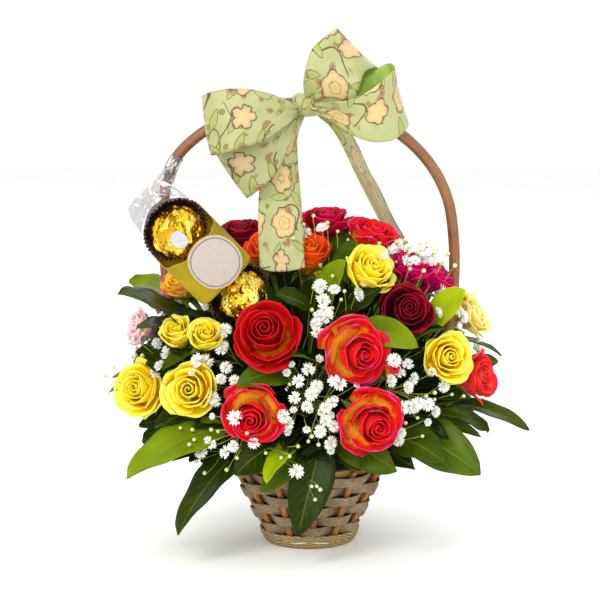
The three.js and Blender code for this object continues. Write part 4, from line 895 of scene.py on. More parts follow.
def makeFootBand():
    profile = [(0, 0), (0, 0.25), (0, 0.5), (0, 0.75), (0, 1), (0.5, 1.03), (1, 0.97), (1.2, 0.8), (1.35, 0.6),
               (1.32, 0.4), (1.2, 0.2), (1, 0.03), (0.5, -0.02)]

    def pointAt(s, c):
        out, level = profile[round(c * 13) % 13]
        angle = 2 * math.pi * s
        z = footBand["low"] + level * footBand["height"]
        # plaited strands slant over the face
        plait = 0.16 * math.sin(90 * angle + 9 * level) + 0.1 * math.sin(37 * angle - 14 * level)
        inside = wallRadius(z) + basket["stakeRadius"] + footBand["gap"]
        thick = footBand["thick"] + (plait if out > 0.6 else 0)
        return onWall(angle, inside + out * thick, z), (s * 0.19, level * 0.0072)
    band = ringLoft("straw_foot_band", 360, 13, pointAt)
    dress(band, [strawBraid])
    finishPiece(band, ["foot_band"])
    # galvanised wire: dull bright metal with fine scratches
    steel, tree, shader = startMaterial("galvanised staple wire", "#D6D6D2", {"Metallic": 1.0, "Roughness": 0.35})
    scratched = addNode(tree, "TexNoise", {"Scale": 1500.0}, {"Vector": addNode(tree, "TexCoord").outputs["Object"]})
    bumpFrom(tree, shader, scratched, 0.0001, 0.4)
    paths = []
    for degrees, slope in footBand["staples"]:
        radius = wallRadius(4.6) + basket["stakeRadius"] + 2 * footBand["gap"] + 1.4 * footBand["thick"]
        row = []
        for k in range(5):
            angle = math.radians(degrees) + (k - 2) * 0.092
            row.append((onWall(angle, radius - (1.1 if k in (0, 4) else 0), 4.4 + slope * (k - 2) * 3), 0.5 * mm))
        paths.append(row)
    staples = stemsFrom("foot_band_staples", paths)
    dress(staples, [steel])
    finishPiece(staples, [])


makeFootBand()

handleRight = [(18.5, 10), (29.5, 33), (38, 51), (50, 67), (74, 98), (86, 132), (89.5, 165), (88.5, 195),
               (84.5, 216), (74, 236), (56, 254), (29, 268), (0, 273.5)]
handleLeft = [(-30, 270.5), (-56, 261), (-73, 249.5), (-83, 238), (-88.5, 222), (-90, 195), (-88, 160),
              (-82, 128), (-70, 96), (-50, 67), (-38, 51), (-29.5, 33), (-18.5, 10)]
handleShape = {"radius": 3.4, "sections": 240, "corners": 16}


def makeHandle():
    route = [Vector((x, 0, z)) for x, z in handleRight + handleLeft]

    def pointAt(s, c):
        place = smoothCurve(route, s)
        along = (smoothCurve(route, min(1, s + 0.002)) - smoothCurve(route, max(0, s - 0.002))).normalized()
        out = Vector((0, -1, 0)).cross(along).normalized()
        turn = 2 * math.pi * c
        knots = sum(0.22 * math.exp(-((s - node) / 0.004) ** 2) for node in (0.21, 0.395, 0.66, 0.83))
        radius = handleShape["radius"] * (1 + 0.03 * noise.noise(Vector((s * 14, 0, 3)))) + knots
        offset = (out * math.cos(turn) + Vector((0, -1, 0)) * math.sin(turn) * 0.96) * radius
        return (place + offset) * mm, (s * 0.75, c * 0.021)
    cane = ringLoft("bent_cane_handle", handleShape["sections"], handleShape["corners"], pointAt)
    dress(cane, [caneWood])
    finishPiece(cane, ["handle"])


makeHandle()
print("handle and foot band made")

# ribbon bow
ribbonRows = {
    "loop_left_upper": [
        [(-6, -9, 272), (-6, -10, 268)], [(-16, -20, 277), (-13, -22, 262)],
        [(-29, -34, 282), (-27, -36, 253)], [(-44, -42, 284), (-43, -44, 248)],
        [(-58, -40, 282), (-54, -42, 245)], [(-64, -34, 279), (-59, -36, 244)],
        [(-61, -29, 279), (-55, -30, 247)], [(-44, -28, 280), (-41, -28, 253)],
        [(-26, -20, 276), (-24, -20, 264)], [(-9, -8, 273), (-9, -8, 271)]],
    "loop_left_lower": [
        [(-9, -9, 267.5), (-6, -9, 266.5)], [(-24, -17, 260), (-13, -16, 248)],
        [(-41, -22, 255), (-20, -22, 233)], [(-54, -24, 251), (-31, -26, 222)],
        [(-59, -21, 248), (-38, -22, 217)], [(-53, -17, 249), (-34, -18, 222)],
        [(-40, -14, 254), (-23, -17, 235)], [(-24, -10, 260), (-15, -11.5, 251)],
        [(-8, -6, 269), (-7, -6, 267.5)]],
    "loop_right_upper": [
        [(-3, -6, 276), (1, -6, 275)], [(-4, -14, 284), (12, -16, 274.4)],
        [(-3, -20, 293), (25, -23, 274.5)], [(1, -22, 306), (29, -26, 282)],
        [(9, -18, 314), (33, -22, 293)], [(17, -9, 319), (41, -13, 295)],
        [(15, 0, 313), (38, -5, 288)], [(6, 4, 299), (27, -3, 281)],
        [(-2, 1, 285), (12, -1, 279.5)], [(-3, -2, 277), (0, -2, 277)]],
    "loop_right_lower": [
        [(1, -10, 274), (1, -10, 269)], [(12, -24, 275), (13, -22, 264)],
        [(23, -36, 277), (25, -34, 256)], [(36, -41, 283), (37, -38, 252)],
        [(45, -37, 290), (50, -33, 253)], [(51, -26, 296), (59, -23, 261)],
        [(47, -16, 298), (55, -14, 268)], [(37, -15, 292), (43, -12, 269)],
        [(23, -12.5, 277), (24, -11, 267)], [(4, -8, 273), (4, -8, 269)]],
    "tail_left": [
        [(-9, -6, 266.5), (-3, -6, 266)], [(-19, -9, 252), (-7, -8, 254)],
        [(-29, -11, 233), (-7, -10, 236)], [(-31, -18, 216), (-5, -17, 215)],
        [(-31, -30, 195), (-4, -29, 195)], [(-30, -40, 176), (-3, -39, 177)]],
    "tail_right": [
        [(4, 4, 273), (3, 3, 267)], [(16, 8, 266), (12, 16, 259)],
        [(27, 9, 252), (21, 27, 244)], [(36, 11, 234), (31, 35, 224)],
        [(44, 13, 218), (39, 41, 207)], [(53, 16, 200), (49, 45, 189)],
        [(62, 19, 185), (59, 47, 176)]],
}
ribbonCloth = {"thickness": 0.00035, "along": 72, "across": 14, "width": 0.037, "steps": 200, "gathered": 0.02,
               "pleats": 2.5, "pleatDepth": 1.3, "crown": 0.9, "slack": 0.7, "endCurve": 2.6}


def printLayer(tree, places, below, motif):
    # one motif scattered over the ribbon, a cell for each, turned at random
    cells = addNode(tree, "TexVoronoi", {"Scale": 1 / motif["every"], "Randomness": motif["loose"]}, {"Vector": places})
    scaledBack = addNode(tree, "VectorMath", {"operation": "SUBTRACT"}, {0: places, 1: cells.outputs["Position"]})
    colourOf = addNode(tree, "SeparateColor", {}, {"Color": cells.outputs["Color"]})
    spin = addNode(tree, "Math", {"operation": "MULTIPLY", 1: 6.28}, {0: colourOf.outputs["Red"]})
    turned = addNode(tree, "VectorRotate", {"rotation_type": "Z_AXIS"}, {"Vector": scaledBack, "Angle": spin})
    at = addNode(tree, "SeparateXYZ", {}, {"Vector": turned})
    x, y = at.outputs["X"], at.outputs["Y"]
    if motif["shape"] == "blossom":
        reach = addNode(tree, "VectorMath", {"operation": "LENGTH"}, {0: turned})
        angle = addNode(tree, "Math", {"operation": "ARCTAN2"}, {0: y, 1: x})
        lobes = addNode(tree, "Math", {"operation": "MULTIPLY", 1: 2.5}, {0: angle})
        lobes = addNode(tree, "Math", {"operation": "COSINE"}, {0: lobes})
        lobes = addNode(tree, "Math", {"operation": "ABSOLUTE"}, {0: lobes})
        edge = addNode(tree, "MapRange", {"To Min": 0.84 * motif["size"], "To Max": motif["size"]}, {"Value": lobes})
        level = addNode(tree, "Math", {"operation": "DIVIDE"}, {0: reach.outputs["Value"], 1: edge})
    else:
        # a leaf is an ellipse with its flanks pinched towards the ends
        long = addNode(tree, "Math", {"operation": "DIVIDE", 1: motif["size"]}, {0: x})
        long = addNode(tree, "Math", {"operation": "POWER", 1: 2.0}, {0: long})
        flank = addNode(tree, "Math", {"operation": "DIVIDE", 1: motif["size"] * motif["slim"]}, {0: y})
        flank = addNode(tree, "Math", {"operation": "ABSOLUTE"}, {0: flank})
        level = addNode(tree, "Math", {"operation": "ADD"}, {0: long, 1: flank})
    wobble = addNode(tree, "TexNoise", {"Scale": 260.0, "Detail": 1.0}, {"Vector": places})
    level = addNode(tree, "Math", {"operation": "MULTIPLY_ADD", 1: 0.3}, {0: wobble, 2: level})
    keep = addNode(tree, "Math", {"operation": "GREATER_THAN", 1: motif["skip"]}, {0: colourOf.outputs["Green"]})
    shallow = addNode(tree, "Math", {"operation": "MULTIPLY", 1: 0.85}, {0: level})
    fill = addNode(tree, "ValToRGB", {"stops": motif["stops"]}, {"Fac": shallow})
    inside = addNode(tree, "MapRange", {"From Min": 1.1, "From Max": 1.18, "To Min": 1.0, "To Max": 0.0},
                     {"Value": level})
    mask = addNode(tree, "Math", {"operation": "MULTIPLY"}, {0: inside, 1: keep})
    mixed = addNode(tree, "Mix", {"data_type": "RGBA"}, {"Factor": mask, "A": below, "B": fill})
    return mixed.outputs[2]


def ribbonMaterial(name, ground, faint, streaked=False):
    # satin polyester gift ribbon 37 mm wide, with a soft watercolour print of spring blossom
    material, tree, shader = startMaterial(name, ground[0], {
        "Roughness": 0.42, "Specular IOR Level": 0.35, "Sheen Weight": 0.1, "Sheen Roughness": 0.4,
        "Subsurface Weight": 0.5, "Subsurface Scale": 0.0012, "Subsurface Radius": (1.0, 1.0, 0.7)})
    uv = addNode(tree, "UVMap")
    clouds = addNode(tree, "TexNoise", {"Scale": 70.0, "Detail": 2.0}, {"Vector": uv})
    colour = addNode(tree, "ValToRGB", {"stops": [(0.35, ground[0]), (0.65, ground[1])]}, {"Fac": clouds})
    plain = colour
    # brown twigs follow one height line of a slow noise, broken where a second noise is low
    for size, brown in ((30.0, "#664F31"), (44.0, "#746B3E")):
        slow = addNode(tree, "TexNoise", {"Scale": size, "Detail": 0.5}, {"Vector": uv})
        line = addNode(tree, "Math", {"operation": "COMPARE", 1: 0.5, 2: 0.009}, {0: slow})
        gaps = addNode(tree, "TexNoise", {"Scale": size * 0.8, "Detail": 0.0, "Distortion": 1.0}, {"Vector": uv})
        shown = addNode(tree, "Math", {"operation": "GREATER_THAN", 1: 0.5}, {0: gaps})
        drawn = addNode(tree, "Math", {"operation": "MULTIPLY"}, {0: line, 1: shown})
        colour = addNode(tree, "Mix", {"data_type": "RGBA", "B": toLinear(brown)},
                         {"Factor": drawn, "A": colour}).outputs[2]
    motifs = [
        {"shape": "leaf", "every": 0.0165, "size": 0.0074, "slim": 0.36, "skip": 0.3, "loose": 0.5,
         "shift": (0.3, 0.1, 0), "stops": [(0, "#758143"), (0.12, "#8E9753"), (0.6, "#9DA25B"), (0.84, "#848E47"),
                                           (0.9, "#3B311C")]},
        {"shape": "leaf", "every": 0.0125, "size": 0.0021, "slim": 0.8, "skip": 0.62, "loose": 0.8,
         "shift": (0.7, 0.9, 0), "stops": [(0, "#81742E"), (0.7, "#8D7F35"), (0.9, "#47361C")]},
        {"shape": "leaf", "every": 0.021, "size": 0.0034, "slim": 0.66, "skip": 0.4, "loose": 0.8,
         "shift": (0.45, 0.25, 0), "stops": [(0, "#634431"), (0.5, "#957252"), (0.82, "#AC8A60"), (0.9, "#3E2C1C")]},
        {"shape": "blossom", "every": 0.027, "size": 0.0108, "skip": 0.18, "loose": 0.3, "shift": (0.2, 0.6, 0),
         "stops": [(0.12, "#724424"), (0.17, "#B59B5C"), (0.46, "#C2B07D"), (0.5, "#846740"), (0.54, "#C0AA79"),
                   (0.74, "#C2AA7B"), (0.89, "#B5996E"), (0.925, "#493520")]},
    ]
    for motif in motifs:
        moved = addNode(tree, "VectorMath", {"operation": "ADD", 1: motif["shift"]}, {0: uv})
        colour = printLayer(tree, moved, colour, motif)
    if streaked:
        # a bark print in long brown and straw lines, from 52 mm below the knot (this tail's UV starts at 31)
        bark = addNode(tree, "Mapping", {"Scale": (380, 30, 1)}, {"Vector": uv})
        lines = addNode(tree, "TexNoise", {"Scale": 1.0, "Detail": 2.0}, {"Vector": bark})
        drawn = addNode(tree, "ValToRGB", {"stops": [(0.36, "#CCAC58"), (0.47, "#B4A44C"), (0.53, "#54421B"),
                                                     (0.59, "#A29644"), (0.7, "#ACAE62")]}, {"Fac": lines})
        down = addNode(tree, "SeparateXYZ", {}, {"Vector": uv})
        edge = addNode(tree, "MapRange", {"From Min": 31.052, "From Max": 31.066, "To Max": 0.85},
                       {"Value": down.outputs["Y"]})
        colour = addNode(tree, "Mix", {"data_type": "RGBA"}, {"Factor": edge, "A": colour, "B": drawn}).outputs[2]
    softened = addNode(tree, "Mix", {"data_type": "RGBA", "Factor": faint}, {"A": plain, "B": colour})
    linkTo(tree, softened.outputs[2], shader.inputs["Base Color"])
    # fine weft lines across the ribbon, drawn 0.6 mm apart so that they show
    weft = addNode(tree, "TexWave", {"bands_direction": "Y", "Scale": 500.0}, {"Vector": uv})
    bumpFrom(tree, shader, weft.outputs["Fac"], 0.00005, 0.3)
    return material


ribbonFace = ribbonMaterial("printed satin ribbon", ("#9B9F6D", "#A6A877"), 1.0)
ribbonInside = ribbonMaterial("bright satin reverse", ("#76942C", "#92AA43"), 0.18)
# the right tail's copy has a paler ground, painted light because the tail is lit from behind; its bark lines are print
ribbonTailPaintedLight = ribbonMaterial("printed satin ribbon end", ("#A4A868", "#B0B072"), 1.0, True)


def makeRibbon(name, rows):
    edges = [[Vector(row[side]) for row in rows] for side in (0, 1)]
    sheet = addGrid(name + "_satin", ribbonCloth["across"], ribbonCloth["along"])
    lengths = [0.0]
    steps = ribbonCloth["steps"]
    previous = None
    for k in range(steps + 1):
        middle = (smoothCurve(edges[0], k / steps) + smoothCurve(edges[1], k / steps)) / 2
        if previous:
            lengths.append(lengths[-1] + (middle - previous).length * mm)
        previous = middle
    seed = len(name) * 3.1
    tail = name.startswith("tail")
    places = []
    for vertex in sheet.data.vertices:
        u, t = (vertex.co.x + 1) / 2, (vertex.co.y + 1) / 2
        a, b = smoothCurve(edges[0], t), smoothCurve(edges[1], t)
        along = smoothCurve(edges[0], min(1, t + 0.01)) - smoothCurve(edges[0], max(0, t - 0.01))
        normal = along.cross(b - a).normalized()
        # 0 at the knot, where the ribbon is gathered in pleats, and 1 beyond
        near = min(1, lengths[round(t * steps)] / ribbonCloth["gathered"])
        if not tail:
            near = min(near, (lengths[-1] - lengths[round(t * steps)]) / ribbonCloth["gathered"])
        pleats = ribbonCloth["pleatDepth"] * math.cos(u * 2 * math.pi * ribbonCloth["pleats"] + seed) * (1 - near)
        crown = ribbonCloth["crown"] * math.sin(math.pi * u) * near
        if name == "tail_left":
            # the right third is folded back along its length
            crown -= (1.2 * min(1, max(0, (u - 0.56) / 0.05)) + 12 * max(0, u - 0.6)) * near * (1 - t)
        slack = ribbonCloth["slack"] * noise.noise(Vector((u * 1.5, t * 5, seed))) * near
        # the cut end of a tail is curved
        curve = -ribbonCloth["endCurve"] * math.sin(math.pi * u) * max(0, t - 0.9) / 0.1 if tail else 0
        vertex.co = (a.lerp(b, u) + normal * (pleats + crown + slack) + Vector((0, 0, curve))) * mm
        places.append((u * ribbonCloth["width"], lengths[round(t * steps)] + seed))
    setUv(sheet, places)
    flipped = "left" in name
    face = ribbonTailPaintedLight if name == "tail_right" else ribbonFace
    dress(sheet, [ribbonInside, face] if flipped else [face, ribbonInside])
    applyModifier(sheet, "SOLIDIFY", thickness=ribbonCloth["thickness"], offset=0, material_offset=1)
    finishPiece(sheet, [name])


# the knot's rows are listed by x and by their share of its depth and height
knotShape = {"centre": (-2, -3, 272.5), "deep": 9, "high": 7.5, "sections": 24, "corners": 48, "rows": [
    (-8.5, 0.62), (-7, 0.8), (-5.5, 0.92), (-3, 0.99), (0, 1), (2.5, 0.98), (5, 0.92), (6.8, 0.8), (8, 0.66)]}


def makeKnot():
    centre, rows = Vector(knotShape["centre"]), knotShape["rows"]

    def pointAt(s, c):
        place = s * (len(rows) - 1)
        i = min(int(place), len(rows) - 2)
        x, size = [a + (b - a) * (place - i) for a, b in zip(rows[i], rows[i + 1])]
        turn = 2 * math.pi * c
        pleat = 1 - 0.035 * (1 + math.sin(9 * turn + x * 0.2)) - 0.03 * math.sin(4 * turn)
        offset = Vector((x, knotShape["deep"] * size * pleat * math.cos(turn),
                         knotShape["high"] * size * pleat * math.sin(turn)))
        return (centre + offset) * mm, (x * mm + 0.2, c * 0.05)
    knot = ringLoft("knot_satin", knotShape["sections"], knotShape["corners"], pointAt)
    makeActive(knot)
    bpy.ops.object.mode_set(mode="EDIT")
    bpy.ops.mesh.select_all(action="DESELECT")
    bpy.ops.mesh.select_non_manifold()
    bpy.ops.mesh.fill()
    bpy.ops.mesh.select_all(action="SELECT")
    bpy.ops.mesh.normals_make_consistent(inside=False)
    bpy.ops.object.mode_set(mode="OBJECT")
    dress(knot, [ribbonFace])
    finishPiece(knot, ["ribbon_knot"])


makeKnot()
for ribbonName, ribbonPath in ribbonRows.items():
    makeRibbon(ribbonName, ribbonPath)

# pack of sweets
topSweet = Vector((-77, -80, 203))
lowSweet = Vector((-41, -46, 161))
packAxis = (topSweet - lowSweet).normalized()
middleSweet = (topSweet + lowSweet) / 2
packFront = Vector((0.426, -0.847, -0.321))
packFront = (packFront - packAxis * packFront.dot(packAxis)).normalized()
packSide = packAxis.cross(packFront)
# each crease is its scale round the ball and its depth
sweetShape = {"radius": 16.0, "creases": ((2.2, 1.3), (4.6, 0.9), (9, 0.3)), "deepest": 1.05, "inset": 1.1}
cupShape = {"flutes": 44, "bottom": 0.35, "reach": 37.5, "foot": 13.1, "flare": 6.2, "pleat": 0.75,
            "behind": -16.8, "deep": 14.1}


def inPack(centre, side, along, front):
    return centre + packSide * side + packAxis * along + packFront * front


def foilMaterial():
    # gold aluminium foil: bright metal, crumpled into sharp facets 1 to 3 mm across, each facet's gold painted lighter
    # or darker as painted highlights and painted shade
    material, tree, shader = startMaterial("crinkled gold foil", "#EFC02A", {"Metallic": 1.0, "Roughness": 0.24})
    places = addNode(tree, "TexCoord").outputs["Object"]
    stretched = addNode(tree, "Mapping", {"Scale": (1, 0.75, 0.5), "Rotation": (0.5, 0.8, 0)}, {"Vector": places})
    way = addNode(tree, "NewGeometry").outputs["Normal"]
    for scale, tilt in ((340.0, 0.95), (800.0, 0.5)):
        facets = addNode(tree, "TexVoronoi", {"Scale": scale}, {"Vector": stretched})
        if scale < 500:
            shade = addNode(tree, "SeparateColor", {}, {"Color": facets.outputs["Color"]})
        leant = addNode(tree, "VectorMath", {"operation": "SUBTRACT", 1: (0.5, 0.5, 0.5)},
                        {0: facets.outputs["Color"]})
        leant = addNode(tree, "VectorMath", {"operation": "SCALE", "Scale": tilt}, {0: leant})
        way = addNode(tree, "VectorMath", {"operation": "ADD"}, {0: way, 1: leant})
    # painted reflection: each facet's gold runs at random from dark brown to pale yellow
    paintedFacetLight = addNode(tree, "ValToRGB", {"stops": [(0, "#96640C"), (0.4, "#E4AE1C"), (0.75, "#F6D444"), (1, "#FFEE8A")]},
                   {"Fac": shade.outputs["Blue"]})
    linkTo(tree, paintedFacetLight, shader.inputs["Base Color"])
    way = addNode(tree, "VectorMath", {"operation": "NORMALIZE"}, {0: way})
    linkTo(tree, way, shader.inputs["Normal"])
    return material


goldFoil = foilMaterial()


def makeSweet(label, centre):
    deselectAll()
    bpy.ops.mesh.primitive_ico_sphere_add(subdivisions=5, radius=1)
    ball = bpy.context.object
    ball.name = "foil_sweet_" + label

    def crinkled(co):
        way = co.normalized()
        crease = 0
        for scale, depth in sweetShape["creases"]:
            cells, _ = noise.voronoi(Vector((way.x, way.y, way.z * 0.7 + way.x * 0.4)) * scale + centre * 0.1)
            crease += depth * (cells[1] - cells[0])
        return (centre + way * (sweetShape["radius"] - sweetShape["inset"] + min(sweetShape["deepest"], crease))) * mm
    reshape(ball, crinkled)
    dress(ball, [goldFoil], smooth=False)
    finishPiece(ball, ["sweet_" + label])


def makeSweets():
    for label, centre in (("top", topSweet), ("low", lowSweet), ("middle", middleSweet)):
        makeSweet(label, centre)
    # thin dark paper, pressed into flutes, with a dull shine and cloudy fibre 2 mm across
    paper = mottledMaterial("dark glassine paper", "#24140E", "#5A4034", 0.45, 0.002, 3.0, (0.0002, 0.4))
    for label, centre in (("top", topSweet), ("low", lowSweet)):
        # flat to the edge of its bottom, then flaring in flutes
        cup = addGrid("fluted_cup_" + label, cupShape["flutes"] * 4, 8)
        for vertex in cup.data.vertices:
            s, turn = (vertex.co.y + 1) / 2, (vertex.co.x + 1) * math.pi
            rise = max(0, (s - cupShape["bottom"]) / (1 - cupShape["bottom"]))
            radius = cupShape["reach"] * s if s < cupShape["bottom"] else cupShape["foot"] + cupShape["flare"] * rise
            radius += cupShape["pleat"] * rise * (1 if math.sin(turn * cupShape["flutes"]) > 0 else -1)
            front = cupShape["behind"] + cupShape["deep"] * rise
            vertex.co = inPack(centre, radius * math.cos(turn), radius * math.sin(turn), front) * mm
        makeActive(cup)
        bpy.ops.object.mode_set(mode="EDIT")
        bpy.ops.mesh.select_all(action="SELECT")
        bpy.ops.mesh.remove_doubles(threshold=1e-6)
        bpy.ops.object.mode_set(mode="OBJECT")
        dress(cup, [paper], smooth=False)
        applyModifier(cup, "SOLIDIFY", thickness=0.0002, offset=0)
        finishPiece(cup, ["cup_" + label])
    print("sweets wrapped")


makeSweets()


sleeveShape = {"size": (35, 41, 34), "shift": 9.5, "corner": 7, "inset": 0.3, "card": 0.0004,
               "dipWidth": 15, "frontDip": 5, "backDip": 2, "mouth": 1.5}


def makeSleeve():
    length, width, depth = sleeveShape["size"]
    # carton board printed gold and varnished: an even half-matt sheen, faintly cloudy
    card, tree, shader = startMaterial("gold printed card", "#A59212", {"Roughness": 0.4, "Specular IOR Level": 0.2})
    uv = addNode(tree, "UVMap")
    # rows of short dark dashes, 1.8 mm apart, from the label's right to the flank
    dashes = addNode(tree, "Mapping", {"Scale": (1 / 0.0019, 1 / 0.0018, 1)}, {"Vector": uv})
    cells = addNode(tree, "VectorMath", {"operation": "FRACTION"}, {0: dashes})
    cell = addNode(tree, "SeparateXYZ", {}, {"Vector": cells})
    wide = addNode(tree, "Math", {"operation": "LESS_THAN", 1: 0.5}, {0: cell.outputs["X"]})
    tall = addNode(tree, "Math", {"operation": "LESS_THAN", 1: 0.5}, {0: cell.outputs["Y"]})
    dots = addNode(tree, "Math", {"operation": "MULTIPLY"}, {0: wide, 1: tall})
    around = addNode(tree, "SeparateXYZ", {}, {"Vector": uv})
    flank = addNode(tree, "Math", {"operation": "COMPARE", 1: 0.0225, 2: 0.0147}, {0: around.outputs["X"]})
    dots = addNode(tree, "Math", {"operation": "MULTIPLY"}, {0: dots, 1: flank})
    sheenNoise = addNode(tree, "TexNoise", {"Scale": 60.0}, {"Vector": uv})
    gold = addNode(tree, "ValToRGB", {"stops": [(0.3, "#897705"), (0.7, "#A58F0B")]}, {"Fac": sheenNoise})
    mixed = addNode(tree, "Mix", {"data_type": "RGBA", "B": toLinear("#463808")}, {"Factor": dots, "A": gold})
    linkTo(tree, mixed.outputs[2], shader.inputs["Base Color"])

    # the same card's unvarnished reverse, duller, and painted paler and golden as painted light inside the sleeve,
    # where shade falls
    reverse = mottledMaterial("golden card reverse", "#D0B428", "#E8D040", 0.5, 0.0025, 2.0, None)

    def outline(c):
        # walk round a rounded rectangle, starting in the middle of the front
        w, d, r = width / 2 - sleeveShape["inset"], depth / 2 - sleeveShape["inset"], sleeveShape["corner"]
        bends = []
        for cx, cy, start in ((w - r, d - r, 90), (w - r, -d + r, 0), (-w + r, -d + r, -90), (-w + r, d - r, 180)):
            for k in range(7):
                angle = math.radians(start - 15 * k)
                bends.append(Vector((cx + r * math.cos(angle), cy + r * math.sin(angle))))
        bends = [Vector((0, d))] + bends + [Vector((0, d))]
        runs = [0.0]
        for a, b in zip(bends, bends[1:]):
            runs.append(runs[-1] + (b - a).length)
        want = c * runs[-1]
        i = next(k for k in range(len(runs) - 1) if runs[k + 1] >= want - 1e-9)
        return bends[i].lerp(bends[i + 1], (want - runs[i]) / (runs[i + 1] - runs[i])), want * mm
    sleeve = addGrid("card_sleeve", 96, 24)
    places = []
    for vertex in sleeve.data.vertices:
        place, run = outline((vertex.co.x + 1) / 2)
        # the open end dips in the middle of the front, where the ball rests
        dip = max(0, 1 - (place.x / sleeveShape["dipWidth"]) ** 2) * (
            sleeveShape["frontDip" if place.y > 0 else "backDip"]) - sleeveShape["mouth"]
        along = sleeveShape["shift"] + vertex.co.y * length / 2 - dip * max(0, vertex.co.y) ** 3
        places.append((run, along * mm))
        vertex.co = inPack(middleSweet, place.x, along, place.y) * mm
    setUv(sleeve, places)
    dress(sleeve, [card, reverse])
    applyModifier(sleeve, "SOLIDIFY", thickness=sleeveShape["card"], offset=-1, material_offset=1)
    finishPiece(sleeve, ["sweets_sleeve"])


makeSleeve()


def makeLabels():
    # coated label paper: half-matt, with a faint fibre
    papers = (("gold printed rim", "#947E1B", "#B19A32"), ("grey brown printed rim", "#655B49", "#726857"),
              ("matt cream label paper", "#A89D96", "#B2A69F"), ("silver white sticker", "#A3A1A5", "#B7B5BB"))
    gold, brown, cream, silver = [mottledMaterial(*paper, 0.4, 1 / 700, 3.0, (0.0001, 0.3)) for paper in papers]
    # the bare oval label on the sleeve and the bare sticker on the top sweet
    sticker = (packSide * -0.155 + packAxis * 0.312 + packFront * 0.937).normalized()
    plates = [
        {"name": "bare_oval_label", "centre": inPack(middleSweet, 3.2, 10.2, sleeveShape["size"][2] / 2 + 0.1),
         "normal": packFront, "tall": 19.4, "wide": 15.8, "bent": 0, "slot": "sleeve_card",
         "layers": ((gold, 1.0), (cream, 0.965), (brown, 0.9), (cream, 0.86))},
        {"name": "bare_round_sticker", "centre": topSweet + sticker * (sweetShape["radius"] + 0.4),
         "normal": sticker, "tall": 6.0, "wide": 5.0, "bent": 0.031, "slot": "gold_foil",
         "layers": ((gold, 1.0), (silver, 0.92))}]
    for plate in plates:
        normal = plate["normal"]
        up = (packAxis - normal * packAxis.dot(normal)).normalized()
        side = up.cross(normal)
        discs = []
        for level, (paper, size) in enumerate(plate["layers"]):
            deselectAll()
            bpy.ops.mesh.primitive_cylinder_add(vertices=96, radius=1, depth=0.24)
            disc = bpy.context.object

            def settle(co):
                # a soft-cornered oval
                turn = math.atan2(co.y, co.x)
                square = 1 + 0.015 * math.cos(4 * turn + math.pi)
                x, y = co.x * plate["wide"] * size * square, co.y * plate["tall"] * size * square
                lift = 0.1 * level + co.z - plate["bent"] * (x * x + y * y)
                return (plate["centre"] + side * x + up * y + normal * lift) * mm
            reshape(disc, settle)
            dress(disc, [paper], smooth=False)
            discs.append(disc)
        finishPiece(joinPieces(plate["name"], discs), [])


makeLabels()


# the flap's left and right edges are listed by their place at the foot and how far they run to the top
filmShape = {"thickness": 0.00012, "left": (-16, 4), "right": (18.3, -3.3), "cup": 18.7, "top": 31, "behind": -8.5,
             "softCorner": 0.12, "crumple": (1.1, 0.6),
             "twist": [(-87.6, 0, 225.5), (-85.2, 0, 233), (-81.3, 0, 240.5)]}


